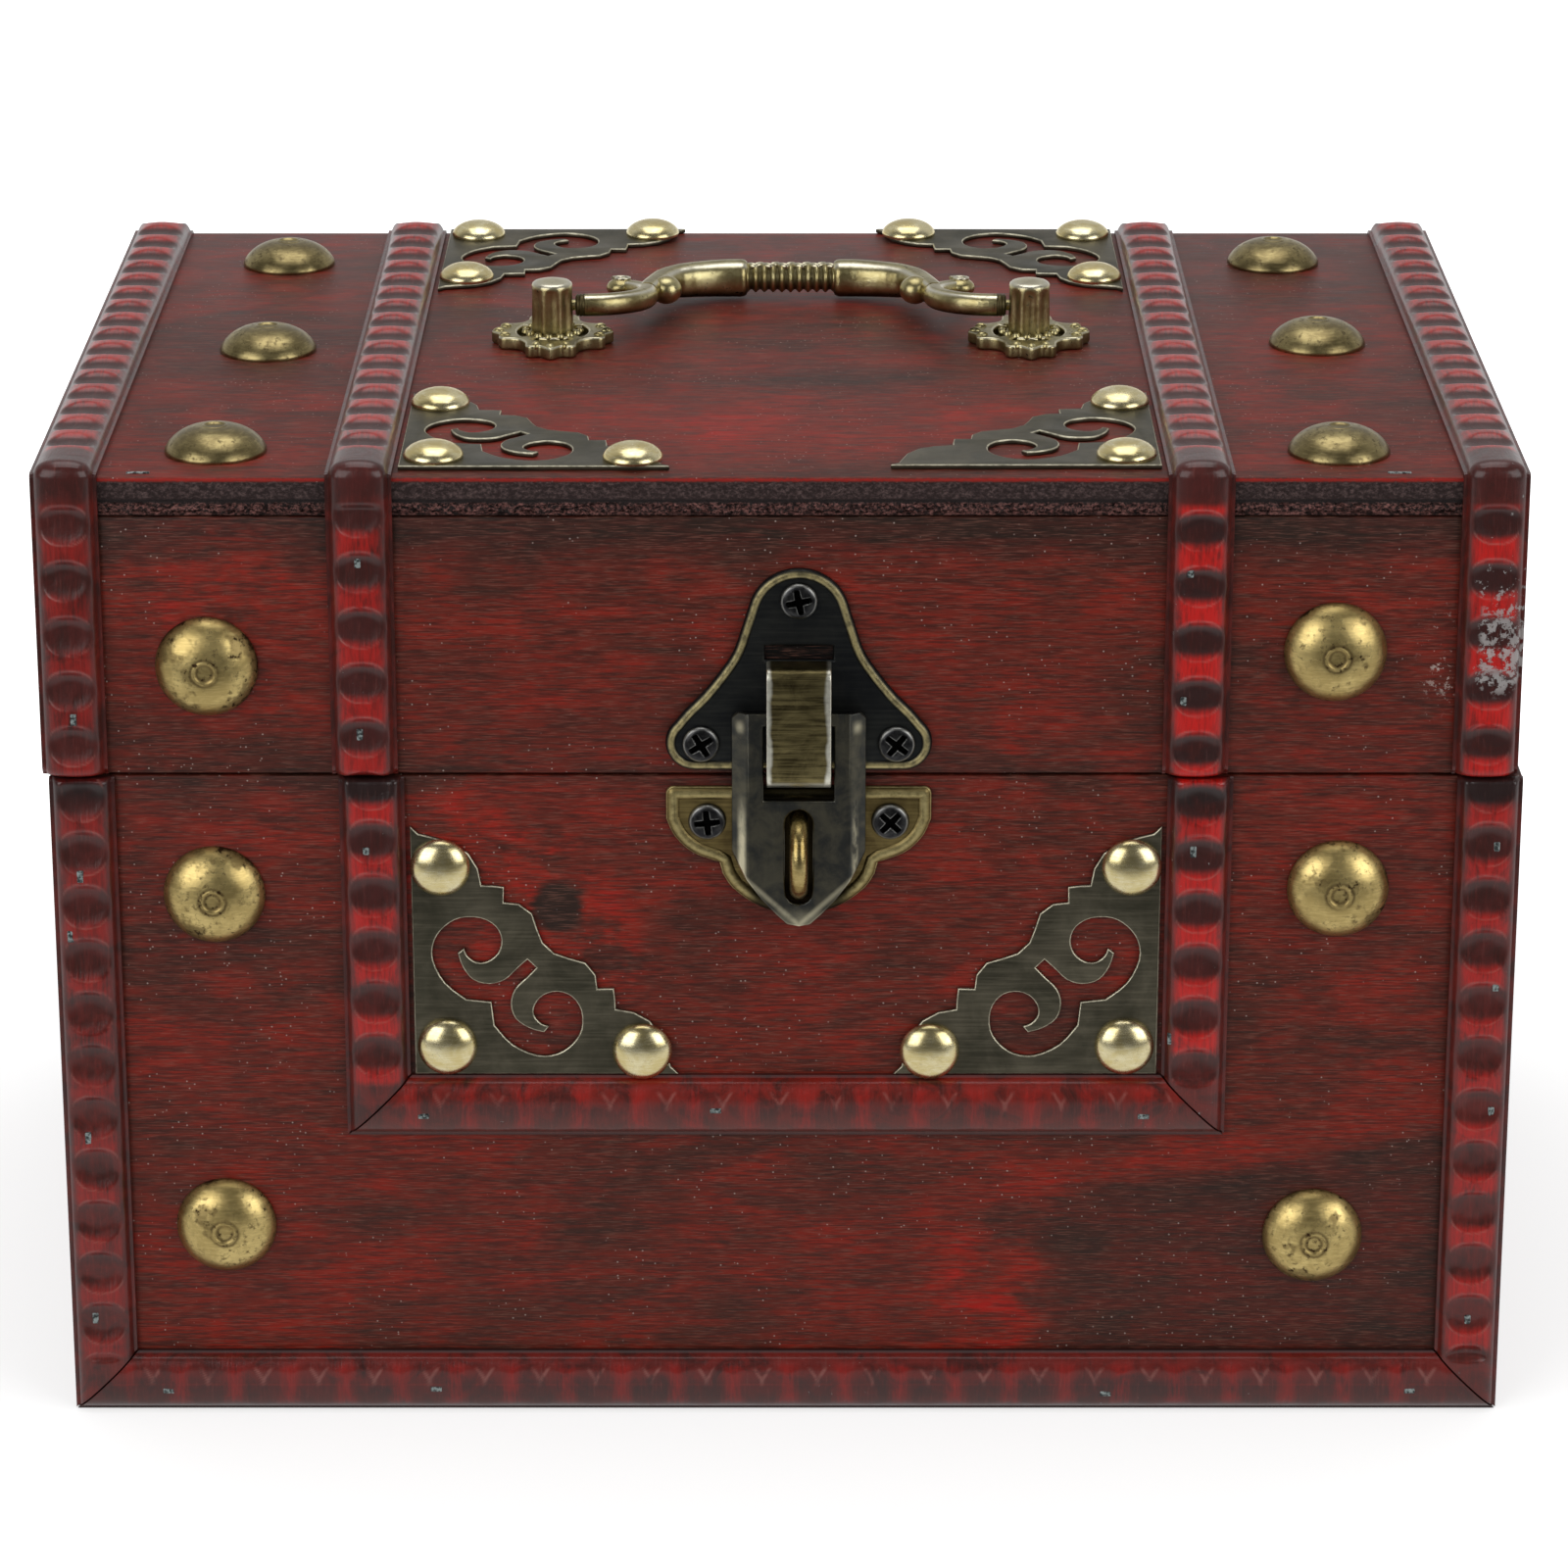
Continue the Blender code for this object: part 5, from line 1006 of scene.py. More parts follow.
def swept(path, section, normal, closed=False, swell=1.0):
    """A section of (across, up) pairs carried along a flat path: across lies in the path's plane, at right
    angles to it, and up along the plane's normal; swell is its size at each point of the path."""
    path = np.array(path, float)
    normal = np.array(normal, float)
    if closed:
        way = np.roll(path, -1, 0) - np.roll(path, 1, 0)
    else:
        way = np.gradient(path, axis=0)
    across = np.cross(unit(way), normal)
    size = np.broadcast_to(np.asarray(swell, float), (len(path),))[:, None, None]
    section = np.array(section, float)[None]
    grid = path[:, None] + across[:, None] * section[..., :1] * size + normal * section[..., 1:] * size
    return woven(grid, around=True, closed=closed, ends=not closed)


def inset_loop(outline, distance):
    """The outline moved inwards by a distance along the mean of its neighbouring edges' normals."""
    loop = np.array(outline, float)
    return loop + left_of(unit(np.roll(loop, -1, 0) - np.roll(loop, 1, 0))) * turn_of(loop) * distance


def rim_form(outline, inset, width, rise, face):
    """A low half-round roll that follows the outline at an inset, on a face, worn along its crest, where a painted
    highlight lies too.
    """
    loop = inset_loop(outline, inset)
    path = np.concatenate([loop, np.full((len(loop), 1), face)], axis=1)
    angle = np.linspace(0, math.pi, 13)
    half_round = np.stack([width / 2 * np.cos(angle), rise * np.sin(angle) ** 1.5], axis=1)
    # Worn value high on the crest: wear with a painted highlight.
    worn = np.tile(np.sin(angle) ** 6, len(path))
    return swept(path, half_round, UP, closed=True), {"worn": worn}


rim, values = rim_form(latch_outline(), 0.85 * MM, 1.5 * MM, 0.50 * MM, LATCH_SHEET - 0.10 * MM)
rim = on_front(rim, LATCH_X, 0, LATCH_FOOT_Z)
add_piece("latch_plate_roll", rim, latch_bronze, "lid", sharp=80, values=values)


def tongue_form():
    """The bent strip: its middle line of curl, run and fold, with half the sheet on either side, is an outline
    in the plane of depth and height, and its width is the thickness of that sheet form."""
    curl = (TONGUE_OUT - TONGUE_BACK) / 2
    foot = -TONGUE_DROP + TONGUE_SHEET / 2
    line = [(TONGUE_BACK, foot + curl + TONGUE_SHEET)]
    line += arc((TONGUE_BACK + curl, foot + curl), curl, 180, 360, 16)
    fold_z = TONGUE_TOP - FOLD_RADIUS - TONGUE_SHEET / 2
    line += arc((TONGUE_OUT - FOLD_RADIUS, fold_z), FOLD_RADIUS, 0, 90, 8)
    line += [(TONGUE_BACK, fold_z + FOLD_RADIUS)]
    line = np.array(line)
    normal = left_of(unit(np.gradient(line, axis=0))) * TONGUE_SHEET / 2
    outline = np.concatenate([line + normal, (line - normal)[::-1]])
    points, faces = sheet_form([outline], TONGUE_WIDTH, 0.22 * MM)
    points = points - (0, 0, TONGUE_WIDTH / 2)
    return placed((points, faces), (LATCH_X, FRONT_Y, LATCH_FOOT_Z), (FRONT, UP, SIDEWAYS))


def tongue_finish():
    """Bronze brushed across; its two rounded sides and its foot carry a painted highlight, its middle stained."""
    material, shader, place = new_finish("tongue_bronze", metallic=1.0)
    x, _, z = place.parts()
    brushed = place.noise((0.12, 0.12, 2.8), 4, 0.6)
    patches = place.noise(0.22, 4, 0.65, 0.5)
    wave = place.noise((0.05, 0.05, 0.16), 3, 0.5) * 2.4 * MM
    # Painted highlight: near white along the tongue's two rounded sides and its foot.
    side = (abs(x - LATCH_X) + wave).rise(5.1 * MM, 5.7 * MM)
    foot = 1 - z.rise(LATCH_FOOT_Z - 1.2 * MM, LATCH_FOOT_Z - 0.2 * MM)
    lit = (patches.rise(0.34, 0.66) * 0.45 + brushed.rise(0.34, 0.64) * 0.6).held()
    colour = lit.mix(tone(64, 56, 36), tone(138, 126, 86))
    rubbed = (side + foot * 0.8) * (patches.rise(0.25, 0.5) * 0.4 + 0.6)
    colour = rubbed.held().mix(colour, tone(240, 238, 222))
    relief = bump(brushed * 0.5 + patches * 2, 0.06 * MM)
    join(shader, Base_Color=colour, Roughness=brushed * 0.25 + 0.26, Normal=relief)
    return material


add_piece("latch_tongue", tongue_form(), tongue_finish(), "lid")
for number, (across, up) in enumerate(LATCH_SCREWS):
    cross_head(LATCH_X + across, LATCH_FOOT_Z + up, LATCH_SHEET, "lid", 0.35 * number + 0.2, f"latch_screw_{number}")

# Catch plate: brass sheet with an embossed rim, square at the top and rounded below, held by two screws.
# A staple of bent brass wire stands out of it, which the hasp drops over and a small padlock would go through.
CATCH_TOP_Z = SEAM_Z - 1.6 * MM
CATCH_HEIGHT = CATCH_TOP_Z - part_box("catch_plate")[0].z
CATCH_SHEET = LATCH_SHEET * 0.8
CATCH_CORNER = 1.2 * MM
CATCH_SCREW_X = 14.0 * MM
CATCH_SCREW_DOWN = 5.6 * MM
CATCH_EDGE = [(1.000, 0.250), (0.935, 0.390), (0.800, 0.515), (0.600, 0.590)]
CATCH_LOBE = [(0.575, 0.680), (0.500, 0.790), (0.350, 0.905), (0.180, 0.975), (0.000, 1.000)]


def catch_outline():
    """Square at the top with small round corners, then hollow shoulders down to a round foot."""
    half = LATCH_WIDTH / 2
    corner = arc((half - CATCH_CORNER, -CATCH_CORNER), CATCH_CORNER, 90, 0, 6)
    edge = smooth_path(CATCH_EDGE, 5).tolist() + smooth_path(CATCH_LOBE, 5).tolist()
    return two_sided(corner + [(half * across, -CATCH_HEIGHT * down) for across, down in edge])


def shade_under_hasp(place):
    """Painted shade on the catch plate where the hasp covers it."""
    return 1 - abs(place.parts()[0] - LATCH_X).rise(6 * MM, 9 * MM)


# Painted shade: the catch plate goes near black where the hasp covers it.
catch_brass = plate_bronze("catch_brass", tone(86, 72, 44), tone(150, 132, 84), tone(206, 190, 134), 0.32,
                           shade_under_hasp)
plate = on_front(sheet_form([catch_outline()], CATCH_SHEET, 0.4 * MM), LATCH_X, 0, CATCH_TOP_Z)
add_piece("catch_plate_sheet", plate, catch_brass, "case", ("catch_plate",),
          values=arris_values([catch_outline()]))
rim, values = rim_form(catch_outline(), 1.15 * MM, 1.9 * MM, 0.45 * MM, CATCH_SHEET - 0.06 * MM)
rim = on_front(rim, LATCH_X, 0, CATCH_TOP_Z)
add_piece("catch_plate_roll", rim, catch_brass, "case", sharp=80, values=values)
for number, (_, sign) in enumerate(SIDES):
    cross_head(LATCH_X + sign * CATCH_SCREW_X, CATCH_TOP_Z - CATCH_SCREW_DOWN, CATCH_SHEET, "case",
               0.1 + 0.7 * number, f"catch_screw_{number}")


def round_section(steps=16):
    """A circle of radius 1."""
    angle = np.linspace(0, 2 * np.pi, steps, endpoint=False)
    return np.stack([np.cos(angle), np.sin(angle)], axis=1)


low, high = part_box("staple")
STAPLE_WIRE = 1.4 * MM
bend = (high.z - low.z) / 2 - STAPLE_WIRE
staple_z = (high.z + low.z) / 2
line = [(high.y, -bend)] + arc((low.y + STAPLE_WIRE + bend, 0), bend, 270, 90, 24) + [(high.y, bend)]
line = [(LATCH_X, y, staple_z + z) for y, z in line]
staple_brass = old_brass("staple_brass", tone(206, 184, 124), tone(150, 128, 76), tone(70, 52, 32), 0.2, 1.0, 0.27)
staple = swept(line, round_section(), SIDEWAYS, swell=STAPLE_WIRE)
add_piece("staple_wire", staple, staple_brass, "case", ("staple",), sharp=80)


# Hasp: one bent sheet of bronzed steel whose bar hangs in the tongue's curl, with a window and a slot.
# Its two sides slope back to the plates; its folds, shoulders and lower rims carry painted highlights, the left fold
# the brightest, and its tip is rubbed down to the brass.
def worn_copy(node, name, material, body, edge):
    """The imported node's own shape with its doubles merged, its flat faces joined and its arrises rounded."""
    mesh = frame["nodes"][node].data.copy()
    cleaned(mesh, 0.002 * MM, flat=2)
    piece = add_mesh(name, mesh, material, body, (node,), 40)
    soften = piece.modifiers.new("soften", "BEVEL")
    soften.width = edge
    soften.segments = 3
    soften.angle_limit = math.radians(28)


def hasp_finish():
    """Near black bronze with painted highlights along the lower half of its two folds, the left one brighter, at the
    shoulders and on the lower rims; rubbed pale at the tip, where the hand and the catch wear it."""
    material, shader, place = new_finish("hasp_bronze", metallic=1.0)
    x, _, z = place.parts()
    brushed = place.noise((1.8, 0.3, 0.10), 4, 0.6)
    patches = place.noise(0.25, 4, 0.65, 0.4)
    across = x - LATCH_X
    up_hasp = z.rise(84 * MM, 89 * MM) * (1 - z.rise(97 * MM, 105 * MM))
    streaky = place.noise((1.2, 0.3, 0.35), 3, 0.6).rise(0.3, 0.6)
    # Painted highlights along the folds, the left one brighter, at the shoulders and on the lower rims; the tip is
    # wear.
    left = (across + 8.7 * MM).near(0, 0.9 * MM) * up_hasp * (streaky * 0.5 + 0.8)
    right = (across - 8.6 * MM).near(0, 0.7 * MM) * up_hasp * streaky * 0.6
    shoulder = abs(across).near(8.9 * MM, 1.0 * MM) * z.near(115.0 * MM, 1.5 * MM) * 0.6
    rims = abs(abs(across) * 0.92 + 83.2 * MM - z).near(0, 0.9 * MM) * (1 - z.rise(90 * MM, 93 * MM)) * 0.6
    tip = (1 - z.rise(84.0 * MM, 86.5 * MM)) * 0.35
    rubbed = ((left + right + shoulder + rims + tip) * (patches.rise(0.3, 0.55) * 0.4 + 0.6)).held()
    colour = patches.rise(0.35, 0.7).mix(tone(66, 67, 65), tone(98, 95, 82))
    colour = rubbed.mix(colour, tone(226, 218, 186))
    relief = bump(brushed + patches, 0.03 * MM)
    join(shader, Base_Color=colour, Roughness=brushed * 0.2 + 0.26, Normal=relief)
    return material


worn_copy("hasp", "hasp_sheet", hasp_finish(), "hasp", 0.3 * MM)

# Handle: two fluted posts stand on pierced rosettes and are screwed on from inside the lid.
# Cast brass, bronzed dark in the hollows and polished on the high parts; a painted highlight runs round each
# post's crown.
POST_HEIGHT = 10.5 * MM
POST_FOOT = 3.7 * MM
POST_SPREAD = 77.4 * MM
ROSETTE_RADIUS = 9.9 * MM
ROSETTE_HEIGHT = 2.1 * MM
ROSETTE_DEPTH = 1.15
WINDOW_OUTER = 5.8 * MM
WINDOW_INNER = 4.4 * MM
WINDOW_SPAN = 69
ROSETTE_LOBES = [(0, 1.00), (8, 0.90), (13, 0.87), (20, 0.93), (27, 0.90), (34, 0.76), (45, 0.70)]


def handle_finish():
    """Olive brass: above zero its worn value polishes it to a pale line, partly a painted highlight; below zero it is
    the dark of a hollow, or painted shade under the bail's rods.
    """
    material, shader, place = new_finish("handle_brass", metallic=1.0)
    patches = place.noise(0.25, 4, 0.6, 0.6)
    specks = place.noise(1.3, 4, 0.65)
    worn = place.value("worn")
    rubbed = patches.rise(0.35, 0.66) * 0.7 + specks.rise(0.45, 0.7) * 0.3
    colour = rubbed.mix(tone(160, 146, 100), tone(206, 196, 148))
    stain = specks.rise(0.56, 0.72) * patches.rise(0.35, 0.6) * 0.8 + (0 - worn).held() * 0.9
    colour = stain.held().mix(colour, tone(40, 31, 20))
    colour = (worn.held() * (specks.rise(0.2, 0.5) * 0.4 + 0.6)).mix(colour, tone(226, 222, 206))
    relief = bump(specks + patches, 0.05 * MM)
    join(shader, Base_Color=colour, Roughness=stain * 0.2 + specks * 0.12 + 0.24, Normal=relief)
    return material


handle_brass = handle_finish()


def rosette_outlines():
    """Four three-lobed corners with hollow sides, and four curved windows parted by spokes."""
    quarter = ROSETTE_LOBES + [(90 - angle, reach) for angle, reach in reversed(ROSETTE_LOBES[1:-1])]
    polar = [(math.radians(angle + 90 * turn), reach) for turn in range(4) for angle, reach in quarter]
    edge = [(ROSETTE_RADIUS * reach * math.cos(a), ROSETTE_RADIUS * reach * math.sin(a)) for a, reach in polar]
    loops = [smooth_path(edge, 3, closed=True)]
    for turn in range(4):
        low = 45 + 90 * turn + (90 - WINDOW_SPAN) / 2
        outer = arc((0, 0), WINDOW_OUTER, low, low + WINDOW_SPAN, 10)
        loops.append(outer + arc((0, 0), WINDOW_INNER, low + WINDOW_SPAN, low, 10))
    return [np.array(loop) * (1, ROSETTE_DEPTH) for loop in loops]


def post_form():
    """A tapered post whose radius is cut by eight flutes that fade at the domed crown, whose edge is polished and
    carries a painted highlight; the post is darker towards its foot.
    """
    height = np.array([0, 0.02, 0.10, 0.3, 0.5, 0.7, 0.82, 0.88, 0.92, 0.95, 0.972, 0.986, 0.994, 1.0, 1.0])
    radius = np.array([3.7, 3.62, 3.56, 3.52, 3.48, 3.44, 3.41, 3.38, 3.32, 3.18, 2.9, 2.4, 1.7, 0.9, 0.0]) * MM
    angle = np.linspace(0, 2 * np.pi, 96, endpoint=False)[None]
    hollow = (0.5 + 0.5 * np.cos(8 * angle)) * (1 - step_up(height, 0.80, 0.93))[:, None]
    reach = radius[:, None] - 0.36 * MM * hollow
    grid = points_of(reach * np.cos(angle), reach * np.sin(angle), height[:, None] * POST_HEIGHT)
    # Painted highlight round the crown's edge; the post is darker towards its foot.
    worn = np.clip(1 - np.abs(height - 0.965) / 0.05, 0, 1)[:, None] - 0.18 * hollow**2
    worn = worn - (1 - step_up(height, 0.16, 0.32))[:, None]
    return woven(grid, around=True), worn.ravel()


def ball(centre, radius, stretch=(1, 1, 1), steps=24):
    """A sphere of rings from pole to pole, stretched along its axes."""
    rise = np.linspace(-np.pi / 2, np.pi / 2, steps // 2 + 1)[:, None]
    around = np.linspace(0, 2 * np.pi, steps, endpoint=False)
    grid = points_of(np.cos(rise) * np.cos(around), np.cos(rise) * np.sin(around), np.sin(rise)) * stretch
    return woven(np.array(centre) + grid * radius, around=True)


def turned_axes(angle):
    """Three axes turned about z by an angle in radians."""
    c, s = math.cos(angle), math.sin(angle)
    return (c, s, 0), (-s, c, 0), UP


def petals():
    """The cast relief of a rosette: on each corner three raised petals, and round the post a ring of beads."""
    forms = []
    for turn in range(4):
        for spread, out in ((-17, 8.0), (0, 8.7), (17, 8.0)):
            a = math.radians(90 * turn + spread)
            spot = np.array([out * math.cos(a), out * math.sin(a) * ROSETTE_DEPTH, 1.75]) * MM
            forms.append(placed(ball((0, 0, 0), 0.95 * MM, (1.15, 0.85, 0.9), 14), spot, turned_axes(a)))
    for a in np.radians(np.arange(0, 360, 24)):
        spot = np.array([4.35 * math.cos(a), 4.35 * math.sin(a), 1.95]) * MM
        forms.append(ball(spot, 0.75 * MM, steps=10))
    return together(*forms)


outlines = rosette_outlines()
rosette = sheet_form(outlines, ROSETTE_HEIGHT, 0.4 * MM)
ground = turned([(0, 0.6 * MM), (6.0 * MM, 0.6 * MM), (6.0 * MM, 0), (0, 0)], 32, (0, 0, 0), UP)
post, post_worn = post_form()
for side, _ in SIDES:
    centre = middle_of(f"handle_post_{side}")
    centre[2] = LID_TOP_Z
    for name, form, worn, stands_for, sharp in (
        (f"handle_rosette_{side}", rosette, arris_values(outlines)["worn"] - 0.35, (f"handle_post_{side}",), 35),
        (f"handle_petals_{side}", petals(), 0, (), 35),
        (f"handle_ground_{side}", ground, -0.8, (), 35),
        (f"handle_post_{side}_casting", post, post_worn, (), 50),
    ):
        values = {"worn": np.broadcast_to(worn, len(form[0]))}
        add_piece(name, placed(form, centre), handle_brass, "lid", stands_for, sharp, values)
    screw = frame["nodes"][f"handle_screw_{side}"].data
    screw.materials.clear()
    screw.materials.append(screw_black)

# Bail: one brass casting that swings between the posts, with scrolls, balls, beads, leaf arms and a ribbed grip.
# It lies back on the lid, a little below the level of its pins; the edges of its upper side are polished and carry
# a painted highlight, and its rods are painted with shade underneath.
joint = next(joint for joint in frame["joints"] if joint["name"] == "bail_swing")
BAIL_AXIS = np.array(joint["pos_m"], float)
BAIL_REACH = 28.6 * MM
PIN_HEIGHT = 6.3 * MM
ARM_RADIUS = 3.1 * MM
LYING_GAP = 0.4 * MM
BAIL_DROOP = math.asin((PIN_HEIGHT - ARM_RADIUS - LYING_GAP) / BAIL_REACH)
ROD_END = POST_SPREAD / 2 - POST_FOOT - 0.5 * MM
SCROLL_X = ROD_END - 1.0 * MM
SCROLL_RADIUS = 9.9 * MM
ARM_ROOT_X = SCROLL_X - SCROLL_RADIUS
c, s = math.cos(-BAIL_DROOP), math.sin(-BAIL_DROOP)
LYING = np.array([(1, 0, 0), (0, c, s), (0, -s, c)], float)


def cast_rod(path, swell, square=0.8, steps=36):
    """A rod whose section is between a circle and a square, with polished lines, a painted highlight, on its two
    upper arrises, painted shade on its underside and a darker band along its top."""
    angle = np.linspace(0, 2 * np.pi, steps, endpoint=False)
    section = round_section(steps)
    section = np.sign(section) * np.abs(section) ** square
    # Painted highlight on the upper arrises, painted shade underneath, and a darker band along the top.
    line = np.clip(1 - np.abs(np.abs(np.degrees(angle) - 90) - 38) / 18, 0, 1)
    under = step_up(-section[:, 1], 0.35, 0.85)
    top = (np.abs(np.degrees(angle) - 90) < 24) * 0.35
    worn = np.tile(line - under - top, len(path) + 2)
    return swept(path, section, UP, swell=swell), worn


def add_casting(name, parts):
    """One piece of the bail from its (form, worn value) pairs, laid down about the axis of the pins."""
    form = together(*(form for form, _ in parts))
    worn = np.concatenate([np.broadcast_to(worn, len(form[0])) for form, worn in parts])
    add_piece(name, placed(form, BAIL_AXIS, LYING), handle_brass, "bail", ("bail",), sharp=60,
              values={"worn": worn})


def bail_side(side, sign):
    """Pin, collar, scroll and ball, bead, and leaf arm of one side, in the bail's own plane about its axis."""
    line = [(ROD_END - 1.4 * MM, 0)] + arc((SCROLL_X, SCROLL_RADIUS), SCROLL_RADIUS, 270, 124, 36)
    path = np.array([(sign * x, y, 0) for x, y in line])
    taper = np.interp(np.linspace(0, 1, len(path)), [0, 0.35, 0.6, 1.0], [1.8, 1.8, 1.8, 1.35]) * MM
    scroll = cast_rod(path, taper)
    end = path[-1]
    pin = swept([(sign * (ROD_END - 1.0 * MM), 0, 0), (sign * (ROD_END + 2.8 * MM), 0, 0)], round_section(12),
                UP, swell=0.9 * MM)
    collar_line = [(sign * x, 0, 0) for x in np.linspace(ROD_END - 1.8 * MM, ROD_END + 0.4 * MM, 9)]
    swell = np.array([1.5, 1.85, 1.7, 1.9, 1.75, 1.9, 1.7, 1.85, 1.5]) * MM
    collar = swept(collar_line, round_section(28), UP, swell=swell)
    curl = [(end[0] + math.cos(a) * r, end[1] + math.sin(a) * r, 1.55 * MM)
            for a, r in zip(np.linspace(0, 9, 40), np.linspace(0.4, 1.7, 40) * MM)]
    spiral = swept(curl, round_section(8), UP, swell=0.28 * MM)
    add_casting(f"bail_scroll_{side}",
                [scroll, (pin, 0), (collar, -0.9), (ball(end, 2.5 * MM, (1, 1, 0.68), 32), 0), (spiral, 0.7)])
    root = (sign * ARM_ROOT_X, SCROLL_RADIUS * 1.25, 0)
    bead = (sign * ARM_ROOT_X * 0.87, BAIL_REACH * 0.55, 0)
    arm_shares = [(0.88, 0.78), (0.76, 0.90), (0.61, 0.965), (0.45, 1.0), (0.30, 1.0)]
    arm_path = smooth_path([root] + [(sign * ARM_ROOT_X * a, BAIL_REACH * r, 0) for a, r in arm_shares], 8)
    swell = np.interp(np.linspace(0, 1, len(arm_path)), [0, 0.2, 0.4, 0.6, 0.8, 0.94, 0.975, 1.0],
                      [1.75, 2.45, 2.8, 2.95, 3.08, 3.08, 2.75, 2.1]) * MM
    arm = cast_rod(arm_path, swell, 0.78, 44)
    add_casting(f"bail_arm_{side}", [arm, (ball(bead, 2.6 * MM, (1, 1, 0.9), 28), 0)])


def bail_grip():
    """The ribbed grip, whose radius swings with the cosine of eleven turns along its length, and the row of
    small leaves along its top."""
    along = np.linspace(-8.0, 8.0, 177) * MM
    angle = np.linspace(0, 2 * np.pi, 40, endpoint=False)[None]
    swing = 0.5 - 0.5 * np.cos(2 * np.pi * 11 * (along / (16 * MM) + 0.5))
    reach = (1.9 * MM + 0.5 * MM * swing)[:, None] + 0 * angle
    grid = points_of(along[:, None], BAIL_REACH + reach * np.cos(angle), reach * np.sin(angle))
    swing = np.concatenate([swing[:1], swing, swing[-1:]])
    parts = [(woven(grid, around=True, ends=True), np.repeat(swing * 0.9 - 0.9, 40))]
    for number, x in enumerate(np.arange(-6.5, 6.6, 1.3)):
        tilt = math.radians(35 if number % 2 else -35)
        leaf = ball((0, 0, 0), 1.25 * MM, (1, 0.42, 0.5), 12)
        spot = (x * MM, BAIL_REACH + (0.45 if number % 2 else -0.45) * MM, 2.05 * MM)
        parts.append((placed(leaf, spot, turned_axes(tilt)), 0.5))
    add_casting("bail_grip", parts)


for side, sign in SIDES:
    bail_side(side, sign)
bail_grip()

# Hinges: two butt hinges of pressed brass on the back, each two leaves rolled about a pin.
# Two small black screws hold each leaf, and the brass is dull and stained with age.
HINGE_SCREW_SIDE = 6 * MM
HINGE_SCREW_IN = 4.5 * MM
HINGE_LEAF_OUT = 0.85 * MM
hinge_brass = old_brass("hinge_brass", tone(186, 164, 104), tone(146, 126, 78), tone(60, 46, 30), 0.5, 1.2)
for side, _ in SIDES:
    for node, body in ((f"lid_hinge_leaf_{side}", "lid"), (f"case_hinge_leaf_{side}", "case")):
        worn_copy(node, node + "_brass", hinge_brass, body, 0.15 * MM)
        low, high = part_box(node)
        middle = middle_of(node)[0]
        z = high.z - HINGE_SCREW_IN if body == "lid" else low.z + HINGE_SCREW_IN
        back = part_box("case_back")[1].y + HINGE_LEAF_OUT
        for number, x in enumerate((middle - HINGE_SCREW_SIDE, middle + HINGE_SCREW_SIDE)):
            dome = smooth_path(np.array([(0, 0.30), (0.3, 0.5), (0.8, 0.46), (1.4, 0.25), (1.7, 0)]) * MM, 3)
            screw = turned(np.concatenate([dome, [(0, 0)]]), 28, (x, back, z), (0, 1, 0))
            add_piece(f"{node}_screw_{number}", screw, screw_black, body, sharp=60)
    worn_copy(f"hinge_pin_{side}", f"hinge_pin_{side}_brass", hinge_brass, "case", 0.1 * MM)


# Stage: a pale floor, soft boxes left and right of the camera, one overhead, and the camera of the photograph.
# Floor and sky are white to the camera, but polished brass also mirrors a dark room between them.
def rays_of(tree):
    """Two wires: 1 for a ray from the camera, and 1 for a ray mirrored by a polished piece."""
    camera_ray = Wire(tree).node("LightPath")
    return camera_ray, Wire(tree, camera_ray.socket.node.outputs["Is Glossy Ray"])


def stage_floor():
    """Pale grey floor, which the camera sees white away from the box; a polished piece sees it bright near the
    box and behind it, and dark further out in front."""
    material = bpy.data.materials.new("pale_floor")
    material.use_nodes = True
    tree = material.node_tree
    shader = tree.nodes["Principled BSDF"]
    shader.inputs["Roughness"].default_value = 0.9
    shader.inputs["Specular IOR Level"].default_value = 0.1
    shader.inputs["Emission Strength"].default_value = 1
    camera_ray, glossy_ray = rays_of(tree)
    place = place_in(tree)
    _, y, _ = place.parts()
    away = place.node("VectorMath", {"operation": "LENGTH"}, {0: place}, 1)
    mirrored_floor = y.rise(-0.42, -0.16) * 0.62 + 0.10
    seen_floor = away.rise(0.12, 0.32) * 0.50 + 0.58
    glow = (glossy_ray * mirrored_floor + camera_ray * seen_floor).mix((0, 0, 0, 1), (1, 1, 1, 1))
    base = glossy_ray.mix((0.6, 0.6, 0.6, 1), (0, 0, 0, 1))
    join(shader, Base_Color=base, Emission_Color=glow)
    return material


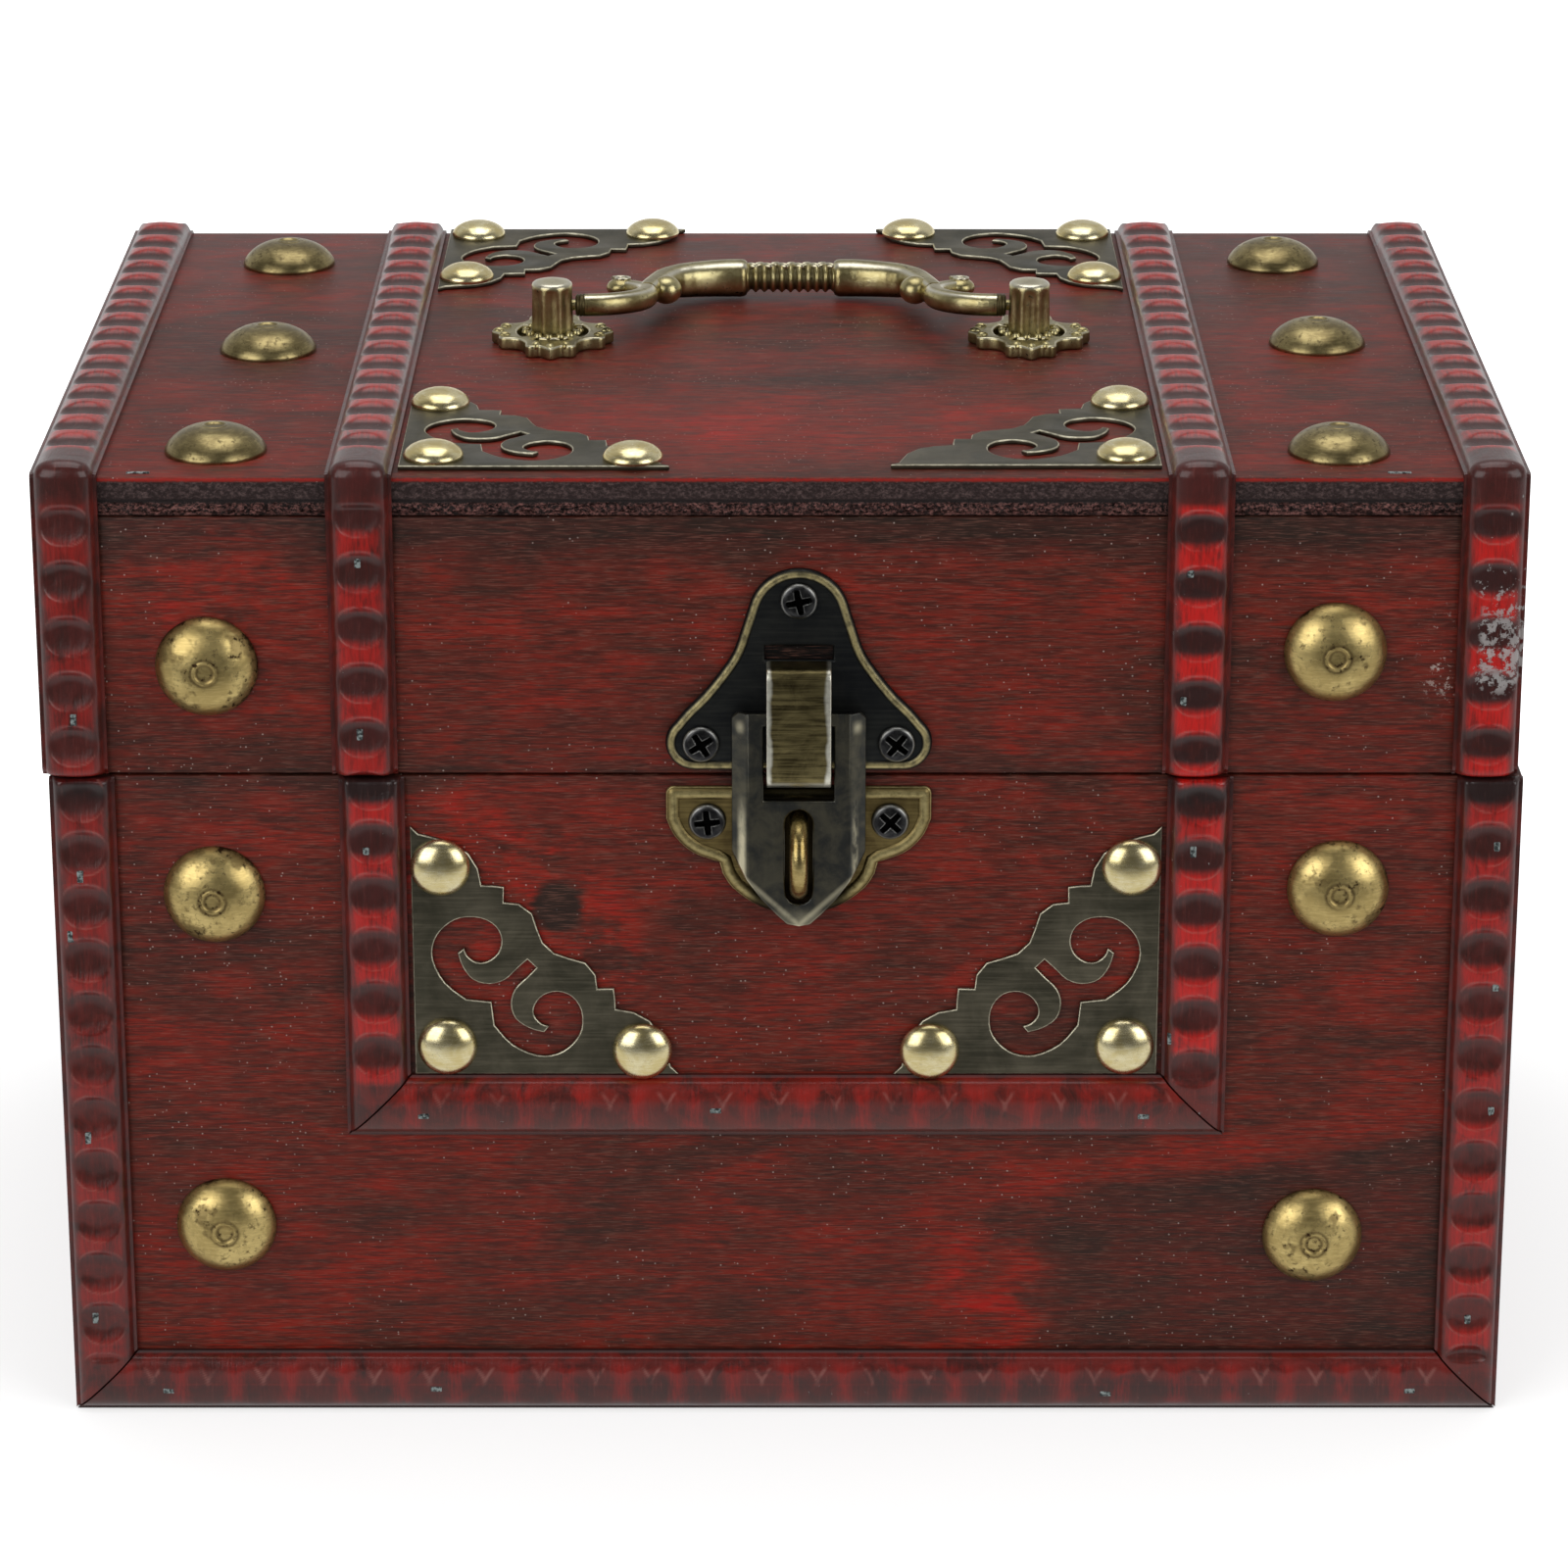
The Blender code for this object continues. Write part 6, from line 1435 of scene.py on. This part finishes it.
FLOOR_REACH = 3.0
corners = [(x * FLOOR_REACH, y * FLOOR_REACH, 0) for x, y in ((-1, -1), (1, -1), (1, 1), (-1, 1))]
mesh = bpy.data.meshes.new("floor")
mesh.from_pydata(corners, [], [(0, 1, 2, 3)])
mesh.materials.append(stage_floor())
floor = bpy.data.objects.new("floor", mesh)
bpy.context.scene.collection.objects.link(floor)


def soft_box(name, place, aim, size, power):
    """A square lamp at a place, turned to its aim."""
    lamp = bpy.data.lights.new(name, "AREA")
    lamp.shape = "SQUARE"
    lamp.size = size
    lamp.energy = power
    holder = bpy.data.objects.new(name, lamp)
    holder.location = place
    holder.rotation_euler = (Vector(aim) - Vector(place)).to_track_quat("-Z", "Y").to_euler()
    bpy.context.scene.collection.objects.link(holder)


soft_box("left_box", (-0.80, -0.85, 0.62), (0, 0, 0.08), 0.95, 6.5)
soft_box("right_box", (0.92, -0.72, 0.60), (0, 0, 0.08), 0.85, 5.5)
soft_box("overhead", (0.0, 0.15, 1.30), (0, 0, 0.1), 0.9, 5.0)

world = bpy.data.worlds.new("studio")
bpy.context.scene.world = world
world.use_nodes = True
sky = world.node_tree
background = sky.nodes["Background"]
camera_ray, glossy_ray = rays_of(sky)
_, towards, upwards = Wire(sky).node("TexCoord", (), (), 0).parts()
mirrored_sky = towards.rise(-0.2, 0.5) * (1 - upwards.rise(0.02, 0.24) * 0.55) * 0.88 + 0.08
level = glossy_ray.mix((0.36, 0.36, 0.36, 1), mirrored_sky.mix((0, 0, 0, 1), (1, 1, 1, 1)))
level = camera_ray.mix(level, (1, 1, 1, 1))
sky.links.new(level.socket, background.inputs["Color"])

lens = bpy.data.cameras.new("camera")
lens.sensor_width = 36
lens.lens = 132.17
camera = bpy.data.objects.new("camera", lens)
camera.location = (0.00015, -0.9026, 0.3972)
camera.rotation_euler = (math.radians(70.57), 0, 0)
bpy.context.scene.collection.objects.link(camera)
bpy.context.scene.camera = camera
bpy.context.scene.view_settings.view_transform = "Standard"
